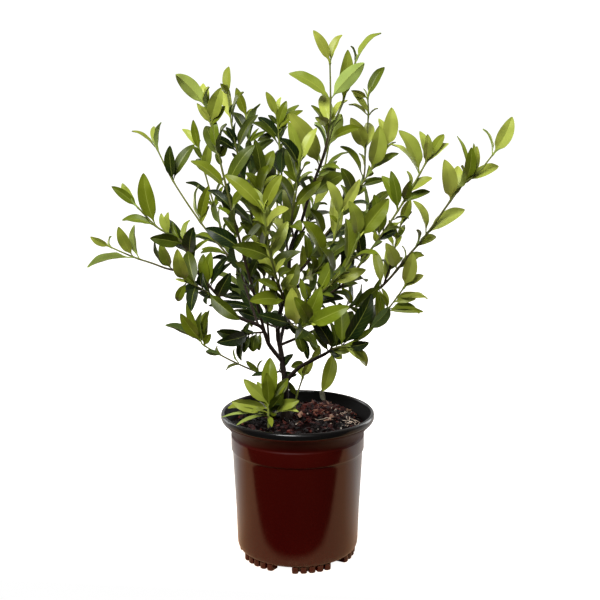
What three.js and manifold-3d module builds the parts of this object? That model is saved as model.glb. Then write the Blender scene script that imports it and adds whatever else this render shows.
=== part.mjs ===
// Potted gardenia: a leggy evergreen shrub in a round nursery pot.
// Millimetres, +Z up. The pot's axis is the Z axis and its feet stand on z = 0.
import * as THREE from 'three';
import Module from 'manifold-3d';
import { mergeVertices } from 'three/addons/utils/BufferGeometryUtils.js';

const wasm = await Module();
wasm.setup();

// Pot
const potSegments = 30;
const potWall = 1.6;
const potLipRadius = 108.4;
const potLipTop = 209;
const potBandRadius = 94.4;
const potBandTop = 177;
const potBandBottom = 159;
const potBodyTopRadius = 92.4;
const potBaseRadius = 86.8;
const potFloorBottom = 9;
const potFloorTop = 11;
const footCount = 6;
const ribsPerFoot = 5;
const ribPitch = THREE.MathUtils.degToRad(8.5);
const firstFootAngle = THREE.MathUtils.degToRad(-96.6);
const slotWidth = 3.2;
const slotDepth = 7;
const footInnerRadius = 68;
const footOuterRadius = 83.4;
const footTop = 10;
const drainHoles = 6;
const drainHoleRadius = 7;
const drainHoleRing = 46;

// Soil
const soilGap = 0.3;
const soilEdgeHeight = 191;
const soilMoundHeight = 6;
const soilRelief = 2.2;
const soilSpokes = 20;
const soilRings = 5;

// Plant
const plantSeed = 45;
const gap = 0.3;
const leafWidthRatio = 0.4;
const leafArch = 0.17;
const leafThickness = 1.3;
const leafTop = 0.4;
const stalkHalfWidth = 0.55;
const stalkEnd = 0.12;
const clearFrom = 0.2;
const bladeStations = [0.36, 0.7];
const ruleLeafLength = 58;
const ruleLift = 0.42;
const ruleTwist = 1.1;
const givenTwist = 0.44;
const ruleShare = 0.7;
const ruleLight = new THREE.Vector3(0, -0.7, 0.6);
const frontLight = new THREE.Vector3(0, -1, 0);
const plantCentre = [-10, 0];
const twigTipRadius = 1.3;
const twigStep = 30;
const twigSides = 4;
const limbStep = 20;
const limbSides = 6;
const baseSides = 9;
const leafClearance = 0.5;
const leafRoom = 0.01;
const meetVolume = 1e-6;
const leafRootOffset = 0.7;

const potColour = 0x3a1208;
const soilColour = 0x2a1712;
const barkColour = 0x33231a;
const leafColour = 0x4d6b12;

// The woody frame: each limb is a route with the radii of its two ends.
const limbs = {
  base: {
    radii: [7.5, 5.4],
    route: [[-16, 0, 158], [-16, 0, 198], [-18, 0, 224], [-18, 0, 251]],
  },
  main: {
    radii: [3.9, 2.1],
    route: [
      [-18, 0, 249], [-22, 3, 285], [-27, 6, 313], [-27, 8, 338], [-20, 10, 366],
      [-13, 10, 402], [-10, 8, 437], [-3, 5, 458], [6, 2, 479],
    ],
  },
  left: {
    radii: [3, 2.2],
    route: [
      [-22, 3, 280], [-39, -12, 307], [-49, -24, 334], [-71, -34, 347], [-93, -42, 360],
      [-107, -48, 384],
    ],
  },
  lowRight: {
    radii: [3.2, 2.2],
    route: [[-18, 0, 250], [0, -20, 275], [19, -34, 290], [38, -46, 303]],
  },
  front: {
    radii: [2.8, 2],
    route: [[-27, 7, 326], [-20, -22, 344], [-14, -50, 360]],
  },
  back: {
    radii: [2.8, 2],
    route: [[-25, 5, 303], [-20, 35, 322], [-10, 62, 345]],
  },
};

// Leafy stems. Each axis starts on a limb, or on another axis of its own stem, at a fraction of that
// route. Each leaf node gives its fraction along the axis, then for each of its leaves the reach from
// root to tip and how far its face is turned to the front (1) or the back (-1). A node with no leaves
// given bears a plain opposite pair.
const leafyStems = {
  leafy_stem_left_upper: [
    {
      name: 'leftUpper',
      from: ['left', 1],
      girth: 2,
      route: [[-135, -52, 419], [-150, -56, 454], [-168, -58, 467], [-185, -60, 478], [-208, -62, 503]],
      nodes: [
        [1, [-31, -8, 28, 0.8], [-20, 12, 33, 0.3]],
        [0.81, [-12, -12, 68, 1], [-46, 12, 7, 0.1]],
        [0.4, [-39, -26, 11, 1], [6, 16, 31, 0.5]],
        [0.3, [-34, 22, 56, 1], [8, -30, 42, 0.9]],
        [0.12, [-32, 6, -19, 1]],
      ],
    },
    {
      name: 'leftMid',
      from: ['leftUpper', 0.2],
      girth: 1.5,
      route: [[-171, -20, 414], [-201, 0, 420], [-230, 24, 425], [-266, 46, 436]],
      nodes: [
        [1, [-24, -16, 16, 1], [-4, 24, 13, 0.3]],
        [0.75, [-66, 4, -13, 0.25], [-15, -20, 43, 1]],
        [0.68, [-18, 18, 46, 0.1]],
        [0.25, [-11, -24, 38, 1], [-32, 20, 28, 0.5]],
      ],
    },
  ],
  leafy_stem_left_low: [
    {
      name: 'leftLow',
      from: ['main', 0.06],
      girth: 1.4,
      route: [[-49, 16, 259], [-91, 40, 269], [-135, 60, 288], [-142, 66, 294]],
      nodes: [
        [1, [-52, 6, 25, 0.1], [-27, -16, 44, 1]],
        [0.77, [-24, 12, 63, 0.8], [5, 26, 46, 0.6]],
        [0.3, [-15, -5, 15, 1], [7, 5, 14, 0.5]],
      ],
    },
  ],
  leafy_stem_left_long: [
    {
      name: 'leftLong',
      from: ['left', 0.45],
      girth: 1.8,
      route: [[-80, 20, 400], [-100, 28, 429], [-137, 42, 472], [-176, 56, 529], [-200, 66, 576]],
      nodes: [
        [1, [-31, -10, 24, 0.5], [-11, 16, 32, 1]],
        [0.98, [5, -6, 40, 0.2]],
        [0.8, [-2, -14, 49, 1], [29, 14, 51, 0.7]],
        [0.6, [14, -16, 52, 1], [-6, 14, 52, 0.3]],
        [0.4, [-34, -18, 5, 0.5], [-22, 14, 23, 0.3]],
        [0.2],
      ],
    },
  ],
  leafy_stem_back_left: [
    {
      name: 'backLeft',
      from: ['main', 0.36],
      girth: 1.9,
      route: [
        [-77, 66, 385], [-103, 96, 432], [-114, 106, 458], [-123, 114, 487], [-137, 124, 536],
        [-145, 128, 569],
      ],
      nodes: [
        [1, [-8, -8, 44, 1], [-26, 14, 32, 0.4]],
        [0.83, [8, -18, 47, 1], [-27, 12, 29, 0.8]],
        [0.68],
        [0.5],
        [0.3],
      ],
    },
  ],
  leafy_stem_front_left: [
    {
      name: 'frontLeft',
      from: ['left', 0.3],
      girth: 2,
      route: [[-65, -74, 422], [-78, -104, 485], [-90, -118, 542], [-103, -126, 603], [-111, -128, 632]],
      nodes: [
        [1, [-34, -10, 38, -1], [-4, 10, 28, 0.3]],
        [0.96, [3, -20, 28, 0.5]],
        [0.84, [-15, -14, 25, 1], [13, -14, 43, 1]],
        [0.68],
        [0.56],
        [0.4],
        [0.28],
        [0.14],
      ],
    },
  ],
  leafy_stem_upper_left: [
    {
      name: 'upperLeft',
      from: ['main', 0.52],
      girth: 1.8,
      route: [[-47, -26, 428], [-61, -38, 490], [-73, -44, 549], [-84, -48, 602], [-89, -50, 646]],
      nodes: [
        [1, [0, 6, 37, 0.5], [-8, -16, 14, 0.8]],
        [0.84],
        [0.69],
        [0.5],
        [0.35],
      ],
    },
  ],
  leafy_stem_back_upper: [
    {
      name: 'backUpper',
      from: ['main', 0.44],
      girth: 1.8,
      route: [[-37, 50, 402], [-52, 72, 464], [-64, 86, 528], [-69, 92, 571], [-74, 96, 617]],
      nodes: [
        [1, [-13, -10, 41, 1], [10, 10, 13, 0.1]],
        [0.86],
        [0.68],
        [0.5],
        [0.33],
      ],
    },
  ],
  leafy_stem_upper_mid: [
    {
      name: 'upperMid',
      from: ['main', 0.66],
      girth: 1.7,
      route: [[-17, 36, 462], [-21, 46, 517], [-25, 52, 572], [-29, 54, 618]],
      nodes: [
        [1, [-14, -8, 34, 1], [5, 12, 28, 0.4]],
        [0.92, [12, -6, 36, 1]],
        [0.79, [-29, -16, 40, 0.5], [26, 14, 57, 0.3]],
        [0.58],
        [0.38],
        [0.2],
      ],
    },
  ],
  leafy_stem_top: [
    {
      name: 'top',
      from: ['main', 1],
      girth: 2.2,
      route: [
        [15, -2, 510], [25, -8, 540], [36, -14, 569], [47, -8, 604], [60, 0, 636], [70, 6, 667],
        [78, 10, 692],
      ],
      nodes: [
        [1, [33, 8, 39, 0.4], [-6, -8, 19, 0.5]],
        [0.72, [6, -26, 66, 1], [26, 12, 31, 0.2]],
        [0.5],
        [0.35, [-39, -44, 70, 1], [26, -20, -1, 0.5]],
        [0.14],
      ],
    },
    {
      name: 'topTwin',
      from: ['top', 0.29],
      girth: 1.4,
      route: [[37, -22, 578], [43, -30, 616], [43, -34, 653], [42, -38, 687]],
      nodes: [
        [1, [-21, -12, 40, 1], [15, 8, 37, 0.1]],
        [0.67, [-54, 6, 35, 0.5], [43, -10, 46, -1]],
        [0.45, [-18, -26, 9, 1], [-10, 22, 39, 1]],
      ],
    },
  ],
  leafy_stem_right_upper: [
    {
      name: 'rightUpper',
      from: ['main', 0.57],
      girth: 1.9,
      route: [[14, 4, 421], [33, 0, 452], [55, -4, 481], [74, -10, 509], [96, -18, 545], [117, -24, 576]],
      nodes: [
        [1, [6, -16, 54, 1], [-8, 14, 41, 0.6]],
        [0.85, [8, -16, 61, 1], [38, 12, 24, 0.2]],
        [0.67, [-16, -30, 41, 0.8], [19, 20, 15, 0.8]],
        [0.5],
        [0.33],
        [0.18],
      ],
    },
    {
      name: 'rightTwin',
      from: ['rightUpper', 0.58],
      girth: 1.4,
      route: [[80, 14, 517], [92, 30, 537], [94, 38, 574], [98, 44, 619], [97, 46, 643]],
      nodes: [
        [1, [23, 12, 44, 0.6], [-23, -14, 10, 1]],
        [0.81, [-26, 12, 17, 0.2], [12, -8, 11, 0.2]],
        [0.59, [-22, -28, 43, 1], [6, 26, 45, 1]],
        [0.39, [-30, -10, 42, 0.5]],
      ],
    },
  ],
  leafy_stem_right_mid: [
    {
      name: 'rightMid',
      from: ['main', 0.34],
      girth: 1.9,
      route: [
        [30, -30, 374], [63, -46, 400], [85, -56, 430], [107, -64, 463], [129, -72, 498],
        [147, -78, 530], [165, -84, 565],
      ],
      nodes: [
        [1, [-11, -10, 36, 0.8], [22, 12, 33, 0.2]],
        [0.98, [0, -22, 37, 1], [31, 14, 27, 0.2]],
        [0.93, [-27, -10, 55, 0.6], [-35, 16, 39, 0.3]],
        [0.77, [5, -32, 29, 1], [36, 10, 14, 0.5]],
        [0.72, [-9, -20, 49, 1], [-19, 18, 45, 0.5]],
        [0.57, [-8, -22, 58, 1], [-35, 20, 35, 0.7]],
        [0.43, [-15, -20, 61, 1], [-47, 14, 24, 1]],
        [0.28],
      ],
    },
  ],
  leafy_stem_far_right: [
    {
      name: 'farRight',
      from: ['main', 0.2],
      girth: 2.1,
      route: [
        [31, 26, 323], [74, 40, 350], [121, 46, 380], [158, 40, 426], [180, 34, 454], [214, 26, 506],
        [231, 22, 529], [248, 18, 543], [267, 14, 568],
      ],
      nodes: [
        [1, [22, -12, 50, 1], [-11, 14, 35, 0.1]],
        [0.79, [50, 8, 17, 0.3], [2, -22, 46, 1]],
        [0.71, [24, 12, 65, 0.4], [-6, -14, 60, 0.5]],
        [0.66, [-11, -24, 59, 1], [14, 20, 50, 0.8]],
        [0.56, [50, 6, 43, 0.5], [-20, -10, 47, 0.5]],
        [0.39, [38, 16, 24, 0.5], [-17, -24, 41, 1]],
        [0.33, [-9, 20, 50, 1], [-38, -22, -27, 0.6]],
        [0.21],
      ],
    },
    {
      name: 'farTwin',
      from: ['farRight', 0.34],
      girth: 1.5,
      route: [[134, 36, 422], [139, 32, 448], [145, 28, 474]],
      nodes: [
        [1, [10, -14, 33, 1], [-25, 12, -23, 0.8]],
        [0.66, [-12, -17, 30, 1], [12, 11, 24, 0.8]],
      ],
    },
  ],
  leafy_stem_right_low: [
    {
      name: 'rightLow',
      from: ['lowRight', 0.36],
      girth: 1.5,
      route: [[45, -2, 295], [91, 10, 315], [127, 20, 351], [150, 26, 381]],
      nodes: [
        [1, [10, -14, 51, 1], [29, 12, 17, 0.6]],
        [0.89, [22, -20, 10, 1], [45, 8, -2, 0.4]],
        [0.76, [47, 8, -6, 0.4], [-12, -10, 23, 0.7]],
        [0.55],
      ],
    },
  ],
  leafy_stem_low_cluster: [
    {
      name: 'lowCluster',
      from: ['lowRight', 1],
      girth: 1.9,
      route: [[47, -58, 312], [59, -68, 318], [69, -74, 320]],
      nodes: [
        [1, [23, -28, 11, 1], [25, 14, -31, 0.4]],
        [0.66, [40, -14, 74, 1], [-2, 14, 58, 1]],
        [0.34, [-34, -26, 58, 1], [-14, -18, -53, 1]],
        [0.14, [22, -26, -2, 1], [33, 20, 53, 1]],
      ],
    },
  ],
  leafy_stem_inner_chain: [
    {
      name: 'innerChain',
      from: ['left', 0.2],
      girth: 1.6,
      route: [[-43, -44, 377], [-45, -60, 431], [-47, -68, 480], [-47, -72, 518], [-46, -74, 537]],
      nodes: [
        [1, [-7, -14, 54, 1], [15, 16, 40, 1]],
        [0.77],
        [0.6],
        [0.43],
        [0.28],
      ],
    },
  ],
  leafy_stem_left_cluster: [
    {
      name: 'leftCluster',
      from: ['left', 0.8],
      girth: 1.6,
      route: [[-110, -72, 386], [-128, -98, 404], [-140, -114, 413]],
      nodes: [
        [1, [-8, -30, 45, 1], [-14, 14, -28, 1]],
        [0.72, [-2, -44, -22, 1], [-13, 30, 42, 1]],
        [0.48, [43, -16, -33, 1]],
        [0.26, [18, 20, -20, 1], [10, -30, 40, 1]],
      ],
    },
  ],
  leafy_stem_lower_left: [
    {
      name: 'lowerLeft',
      from: ['left', 0.34],
      girth: 1.5,
      route: [[-63, -30, 328], [-74, -44, 327]],
      nodes: [
        [1, [-34, -14, 9, 1], [-3, -6, -33, 0.1]],
        [0.6, [-8, -10, -24, 1], [-30, -56, 3, 1]],
      ],
    },
  ],
  leafy_stem_front_mid: [
    {
      name: 'frontMid',
      from: ['front', 1],
      girth: 1.8,
      route: [[-18, -80, 384], [-28, -112, 424], [-36, -136, 466], [-40, -150, 505]],
      nodes: [[1], [0.82], [0.62], [0.42], [0.22]],
    },
  ],
  leafy_stem_front_right: [
    {
      name: 'frontRight',
      from: ['front', 0.65],
      girth: 1.8,
      route: [[8, -64, 374], [32, -98, 398], [58, -124, 430], [74, -140, 470]],
      nodes: [[1], [0.8], [0.6], [0.42], [0.24]],
    },
  ],
  leafy_stem_front_low: [
    {
      name: 'frontLow',
      from: ['front', 0.85],
      girth: 1.6,
      route: [[-8, -82, 352], [2, -118, 354], [14, -150, 366]],
      nodes: [[1], [0.78], [0.55], [0.34]],
    },
  ],
  leafy_stem_back_mid: [
    {
      name: 'backMid',
      from: ['back', 1],
      girth: 1.8,
      route: [[-14, 92, 380], [-24, 124, 424], [-30, 146, 470], [-32, 158, 520]],
      nodes: [[1], [0.82], [0.64], [0.44], [0.22]],
    },
  ],
  leafy_stem_back_right: [
    {
      name: 'backRight',
      from: ['back', 0.75],
      girth: 1.8,
      route: [[18, 80, 354], [52, 112, 384], [84, 140, 424], [104, 156, 466]],
      nodes: [[1], [0.8], [0.62], [0.44], [0.24]],
    },
  ],
  leafy_stem_back_low: [
    {
      name: 'backLow',
      from: ['back', 0.5],
      girth: 1.6,
      route: [[-44, 76, 318], [-66, 112, 332], [-84, 146, 356]],
      nodes: [[1], [0.78], [0.56], [0.34]],
    },
  ],
  leafy_stem_back_top: [
    {
      name: 'backTop',
      from: ['main', 0.74],
      girth: 1.7,
      route: [[12, 46, 468], [30, 80, 512], [42, 100, 560], [48, 108, 604]],
      nodes: [[1], [0.82], [0.64], [0.46], [0.26]],
    },
  ],
  leafy_stem_inner_right: [
    {
      name: 'innerRight',
      from: ['main', 0.48],
      girth: 1.6,
      route: [[6, -22, 398], [30, -54, 424], [46, -74, 458], [54, -84, 492]],
      nodes: [[1], [0.78], [0.56], [0.36]],
    },
  ],
  leafy_stem_inner_top: [
    {
      name: 'innerTop',
      from: ['main', 0.84],
      girth: 1.5,
      route: [[-8, -30, 482], [-2, -52, 520], [2, -62, 556]],
      nodes: [[1], [0.74], [0.48], [0.26]],
    },
  ],
};

// Shoots that rise from the soil beside the trunk.
const soilShoots = {
  basal_shoot: [
    {
      name: 'basal',
      girth: 2.2,
      route: [[-40, -38, 166], [-40, -39, 196], [-40, -40, 216], [-39, -38, 232]],
      nodes: [
        [1, [2, 8, 62, 1], [26, 16, 30, 1]],
        [0.92, [-2, -20, 50, 1], [-34, -6, 38, 1]],
        [0.8, [-50, -12, 14, 1], [41, -12, 16, 1]],
        [0.7, [-58, 16, 4, 0.3], [20, -22, 34, 1]],
        [0.74, [10, -26, 4, 1]],
      ],
    },
  ],
  sucker: [
    {
      name: 'sucker',
      girth: 1.5,
      route: [[-4, 21, 166], [-4, 21, 198], [-2, 20, 221], [7, 16, 252]],
      nodes: [
        [1, [14, -12, 34, 1], [-9, 14, 21, 1]],
        [0.7, [-16, -8, 26, 1]],
      ],
    },
  ],
};

// Ways in which a leaf may bend clear of its neighbours: turn round the stem, lean, shorten.
const bends = [
  [0, 0, 1], [16, 0, 1], [-16, 0, 1], [0, 12, 1], [0, -12, 1], [32, 6, 0.95], [-32, 6, 0.95],
  [48, -8, 0.88], [-48, -8, 0.88], [20, 18, 0.8], [-20, 18, 0.8], [0, 0, 0.66], [30, -14, 0.66],
  [-30, -14, 0.66], [70, 0, 0.7], [-70, 0, 0.7],
];

function seededRandom(seed) {
  let state = seed;
  return () => {
    state = (state + 0x6d2b79f5) | 0;
    let mixed = Math.imul(state ^ (state >>> 15), 1 | state);
    mixed = (mixed + Math.imul(mixed ^ (mixed >>> 7), 61 | mixed)) ^ mixed;
    return ((mixed ^ (mixed >>> 14)) >>> 0) / 4294967296;
  };
}

function closedGeometry(points, triangles) {
  const geometry = new THREE.BufferGeometry();
  const numbers = points.flatMap((point) => point.toArray());
  geometry.setAttribute('position', new THREE.Float32BufferAttribute(numbers, 3));
  geometry.setIndex(triangles);
  return geometry;
}

function solidOf(geometry) {
  const bare = new THREE.BufferGeometry();
  bare.setAttribute('position', geometry.getAttribute('position'));
  bare.setIndex(geometry.getIndex());
  const merged = mergeVertices(bare, 1e-4);
  return new wasm.Manifold(new wasm.Mesh({
    numProp: 3,
    vertProperties: new Float32Array(merged.getAttribute('position').array),
    triVerts: new Uint32Array(merged.getIndex().array),
  }));
}

function geometryOf(solid) {
  const mesh = solid.getMesh();
  const geometry = new THREE.BufferGeometry();
  geometry.setAttribute('position', new THREE.BufferAttribute(mesh.vertProperties, 3));
  geometry.setIndex(new THREE.BufferAttribute(mesh.triVerts, 1));
  geometry.computeVertexNormals();
  return geometry;
}

function joined(solids) {
  return solids.reduce((whole, solid) => whole.add(solid));
}

function vectorOf(point) {
  return new THREE.Vector3(point[0], point[1], point[2]);
}

// A smooth route through points; the fraction runs evenly over its spans.
function pointOn(route, fraction) {
  const spans = route.length - 1;
  const along = Math.min(Math.max(fraction, 0) * spans, spans - 1e-9);
  const span = Math.floor(along);
  const u = along - span;
  const p1 = route[span];
  const p2 = route[span + 1];
  const p0 = span > 0 ? route[span - 1] : p1.clone().multiplyScalar(2).sub(p2);
  const p3 = span + 2 <= spans ? route[span + 2] : p2.clone().multiplyScalar(2).sub(p1);
  const axis = (key) => 0.5 * (2 * p1[key] + (p2[key] - p0[key]) * u
    + (2 * p0[key] - 5 * p1[key] + 4 * p2[key] - p3[key]) * u * u
    + (3 * p1[key] - p0[key] - 3 * p2[key] + p3[key]) * u * u * u);
  return new THREE.Vector3(axis('x'), axis('y'), axis('z'));
}

function directionOn(route, fraction) {
  const step = 0.004;
  const ahead = Math.min(fraction + step, 1);
  const behind = Math.max(fraction - step, 0);
  return pointOn(route, ahead).sub(pointOn(route, behind)).normalize();
}

function stepsOn(route, stepLength) {
  let length = 0;
  for (let i = 1; i < route.length; i += 1) {
    length += route[i].distanceTo(route[i - 1]);
  }
  return Math.max(2, Math.round(length / stepLength));
}

// The point on a twig's middle line, which runs straight between the twig's rings.
function middleOf(route, fraction) {
  const steps = stepsOn(route, twigStep);
  const step = Math.min(Math.floor(fraction * steps), steps - 1);
  const start = pointOn(route, step / steps);
  return start.lerp(pointOn(route, (step + 1) / steps), fraction * steps - step);
}

// A tapering rod along a route, closed at both ends.
function rodGeometry(route, radii, sides, stepLength, spare = 0) {
  const steps = stepsOn(route, stepLength);
  const points = [];
  const triangles = [];
  let across = new THREE.Vector3(1, 0, 0);
  for (let i = 0; i <= steps; i += 1) {
    const fraction = i / steps;
    const centre = pointOn(route, fraction);
    const forward = directionOn(route, fraction);
    across.addScaledVector(forward, -across.dot(forward)).normalize();
    const over = forward.clone().cross(across);
    const radius = THREE.MathUtils.lerp(radii[0], radii[1], fraction) + spare;
    for (let j = 0; j < sides; j += 1) {
      const angle = (j / sides) * 2 * Math.PI;
      points.push(centre.clone()
        .addScaledVector(across, radius * Math.cos(angle))
        .addScaledVector(over, radius * Math.sin(angle)));
    }
  }
  for (let i = 0; i < steps; i += 1) {
    for (let j = 0; j < sides; j += 1) {
      const a = i * sides + j;
      const b = i * sides + ((j + 1) % sides);
      triangles.push(a, b, b + sides, a, b + sides, a + sides);
    }
  }
  const last = steps * sides;
  for (let j = 1; j < sides - 1; j += 1) {
    triangles.push(0, j + 1, j);
    triangles.push(last, last + j, last + j + 1);
  }
  return closedGeometry(points, triangles);
}

// Half-width of a blade as a share of its half-width at the widest place, which lies past the middle.
function bladeProfile(t) {
  return Math.sin(Math.PI * t ** 1.2) ** 0.8;
}

// The midrib is an arch that leaves the stem close to the stem's own line. The blade's upper face looks
// up along the stem, turned by its share towards the light.
function bladeAxes(leaf) {
  const { root, reach, stemDirection, light, share, twist } = leaf;
  const length = reach.length();
  const chord = reach.clone().divideScalar(length);
  const inward = squaredTo(chord, stemDirection);
  const turned = inward.clone().multiplyScalar(1 - Math.abs(share)).addScaledVector(light, share);
  const upper = squaredTo(chord, turned);
  const control = root.clone().addScaledVector(chord, 0.45 * length)
    .addScaledVector(inward, leafArch * length * (1 - 0.5 * Math.abs(share)))
    .addScaledVector(upper, leafArch * length * 0.4 * Math.abs(share));
  const tip = root.clone().add(reach);
  return { length, upper, control, tip, twist, root };
}

// The part of a direction that is square to a leaf's chord.
function squaredTo(chord, direction) {
  const square = direction.clone().addScaledVector(chord, -direction.dot(chord));
  if (square.length() < 0.08) {
    square.set(0, -1, 0).addScaledVector(chord, chord.y);
  }
  return square.normalize();
}

function bladeStation(axes, t) {
  const { root, control, tip, upper, twist } = axes;
  const middle = root.clone().multiplyScalar((1 - t) ** 2)
    .addScaledVector(control, 2 * t * (1 - t))
    .addScaledVector(tip, t * t);
  const forward = control.clone().sub(root).multiplyScalar(1 - t)
    .addScaledVector(tip.clone().sub(control), t)
    .normalize();
  const side = forward.clone().cross(upper).normalize();
  const face = side.clone().cross(forward);
  const cos = Math.cos(twist);
  const sin = Math.sin(twist);
  const turnedSide = side.clone().multiplyScalar(cos).addScaledVector(face, sin);
  const turnedFace = face.clone().multiplyScalar(cos).addScaledVector(side, -sin);
  return { middle, side: turnedSide, face: turnedFace };
}

// One leaf: an arched blade on a short stalk, thick at the rib and thin at the edges.
function leafGeometry(leaf, spare = 0) {
  const axes = bladeAxes(leaf);
  const halfWidth = 0.5 * leafWidthRatio * axes.length;
  const stations = spare > 0 ? [clearFrom, ...bladeStations] : [0, stalkEnd, ...bladeStations];
  const points = [];
  const triangles = [0, 2, 1];
  for (const t of stations) {
    const { middle, side, face } = bladeStation(axes, t);
    const width = (t > stalkEnd ? halfWidth * bladeProfile(t) : stalkHalfWidth + 4 * t) + spare;
    points.push(middle.clone().addScaledVector(side, -width).addScaledVector(face, leafTop + spare));
    points.push(middle.clone().addScaledVector(side, width).addScaledVector(face, leafTop + spare));
    points.push(middle.clone().addScaledVector(face, leafTop - leafThickness - spare));
  }
  points.push(axes.tip.clone());
  for (let i = 0; i < stations.length - 1; i += 1) {
    for (let j = 0; j < 3; j += 1) {
      const a = i * 3 + j;
      const b = i * 3 + ((j + 1) % 3);
      triangles.push(a, b, b + 3, a, b + 3, a + 3);
    }
  }
  const last = (stations.length - 1) * 3;
  const tipIndex = points.length - 1;
  triangles.push(last, last + 1, tipIndex, last + 1, last + 2, tipIndex, last + 2, last, tipIndex);
  return closedGeometry(points, triangles);
}

// The leaves of one axis, from its tip down, with the seeded differences between them.
function leavesOf(axis, route, random) {
  const leaves = [];
  axis.nodes.forEach(([fraction, ...reaches], order) => {
    const root = middleOf(route, fraction);
    const stemDirection = directionOn(route, fraction);
    const side = new THREE.Vector3(0, 1, 0).cross(stemDirection).normalize();
    const deep = stemDirection.clone().cross(side);
    const pairTurn = Math.PI / 2 * order + random() * 0.7;
    const spread = THREE.MathUtils.degToRad(34 + 34 * (1 - fraction) + 10 * random());
    const outwards = new THREE.Vector3(root.x - plantCentre[0], root.y - plantCentre[1], 0);
    outwards.normalize().add(ruleLight).normalize();
    const given = reaches.length > 0;
    for (let k = 0; k < Math.max(2, reaches.length); k += 1) {
      const turn = pairTurn + Math.PI * k + 0.3 * (random() - 0.5);
      const length = ruleLeafLength * (0.8 + 0.35 * random());
      const twist = (given ? givenTwist : ruleTwist) * (random() - 0.5);
      if (given && k >= reaches.length) {
        continue;
      }
      const outward = side.clone().multiplyScalar(Math.cos(turn)).addScaledVector(deep, Math.sin(turn));
      const reach = given
        ? vectorOf(reaches[k])
        : stemDirection.clone().multiplyScalar(Math.cos(spread))
          .addScaledVector(outward, Math.sin(spread))
          .add(new THREE.Vector3(0, 0, ruleLift))
          .normalize()
          .multiplyScalar(length);
      const light = given ? frontLight : outwards;
      const share = given ? reaches[k][3] : ruleShare;
      const ownSide = squaredTo(stemDirection, reach);
      const start = root.clone().addScaledVector(ownSide, leafRootOffset);
      leaves.push({ root: start, stemDirection, reach, light, share, twist });
    }
  });
  return leaves;
}

function bentLeaf(leaf, [turn, lean, scale]) {
  const outward = leaf.reach.clone().cross(leaf.stemDirection);
  if (outward.length() < 1e-6) {
    outward.set(1, 0, 0);
  }
  outward.normalize();
  const reach = leaf.reach.clone()
    .applyAxisAngle(outward, THREE.MathUtils.degToRad(lean))
    .applyAxisAngle(leaf.stemDirection, THREE.MathUtils.degToRad(turn))
    .multiplyScalar(scale);
  return { ...leaf, reach };
}

function boxOf(solid) {
  const { min, max } = solid.boundingBox();
  return new THREE.Box3(vectorOf(min), vectorOf(max));
}

function meets(solid, others) {
  const box = boxOf(solid);
  return others.some((other) => other.box.intersectsBox(box)
    && solid.intersect(other.solid).volume() > meetVolume);
}

const routes = {};
for (const [name, limb] of Object.entries(limbs)) {
  routes[name] = limb.route.map(vectorOf);
}

function trunkSolid(spare) {
  const rods = Object.entries(limbs).map(([name, limb]) => {
    const sides = name === 'base' ? baseSides : limbSides;
    return solidOf(rodGeometry(routes[name], limb.radii, sides, limbStep, spare));
  });
  return joined(rods);
}

function axisRoute(axis) {
  const own = axis.route.map(vectorOf);
  return axis.from ? [pointOn(routes[axis.from[0]], axis.from[1]), ...own] : own;
}

function stemSolids(axes, spare) {
  return axes.map((axis) => {
    const radii = [axis.girth, twigTipRadius];
    return solidOf(rodGeometry(routes[axis.name], radii, twigSides, twigStep, spare));
  });
}

function potProfile() {
  const outer = [
    [0, potFloorBottom], [80, potFloorBottom], [84.6, potFloorBottom + 3], [potBaseRadius, 19],
    [88.2, 66], [91.4, 128], [potBodyTopRadius, 156],
    [potBandRadius, potBandBottom], [potBandRadius, potBandTop], [93.6, 179],
    [98.4, 187], [106.4, 197.4], [potLipRadius, 201], [potLipRadius, 205],
    [106.6, potLipTop], [103.6, potLipTop - 0.6],
  ];
  const inner = [
    [102, 203], [95.2, 188], [91.8, 178], [potBodyTopRadius - potWall, 150],
    [89.7, 128], [potBaseRadius - potWall, 19], [81.5, potFloorTop + 1.4], [79, potFloorTop], [0, potFloorTop],
  ];
  return [...outer, ...inner].map(([radius, height]) => new THREE.Vector2(radius, height));
}

// One foot: an arc of five ribs with slots between them, open outwards.
function footGeometry(startAngle) {
  const plan = new THREE.Shape();
  const point = (radius, angle) => [radius * Math.cos(angle), radius * Math.sin(angle)];
  const half = ribPitch / 2;
  const slot = slotWidth / 2 / footOuterRadius;
  plan.moveTo(...point(footInnerRadius, startAngle));
  for (let rib = 0; rib < ribsPerFoot; rib += 1) {
    const middle = startAngle + (rib + 0.5) * ribPitch;
    plan.lineTo(...point(footOuterRadius - 1.2, middle - half + slot));
    plan.lineTo(...point(footOuterRadius, middle));
    plan.lineTo(...point(footOuterRadius - 1.2, middle + half - slot));
    if (rib < ribsPerFoot - 1) {
      plan.lineTo(...point(footOuterRadius - slotDepth, middle + half));
    }
  }
  const endAngle = startAngle + ribsPerFoot * ribPitch;
  plan.lineTo(...point(footInnerRadius, endAngle));
  plan.lineTo(...point(footInnerRadius, (startAngle + endAngle) / 2));
  plan.closePath();
  return new THREE.ExtrudeGeometry(plan, { depth: footTop, bevelEnabled: false });
}

function makePot() {
  let pot = solidOf(new THREE.LatheGeometry(potProfile(), potSegments).rotateX(Math.PI / 2));
  for (let foot = 0; foot < footCount; foot += 1) {
    pot = pot.add(solidOf(footGeometry(firstFootAngle + foot * (2 * Math.PI / footCount))));
  }
  for (let hole = 0; hole < drainHoles; hole += 1) {
    const angle = (hole + 0.5) * (2 * Math.PI / drainHoles);
    const cutter = new THREE.CylinderGeometry(drainHoleRadius, drainHoleRadius, 8, 8);
    cutter.rotateX(Math.PI / 2);
    cutter.translate(drainHoleRing * Math.cos(angle), drainHoleRing * Math.sin(angle), potFloorBottom + 1);
    pot = pot.subtract(solidOf(cutter));
  }
  return pot;
}

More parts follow.
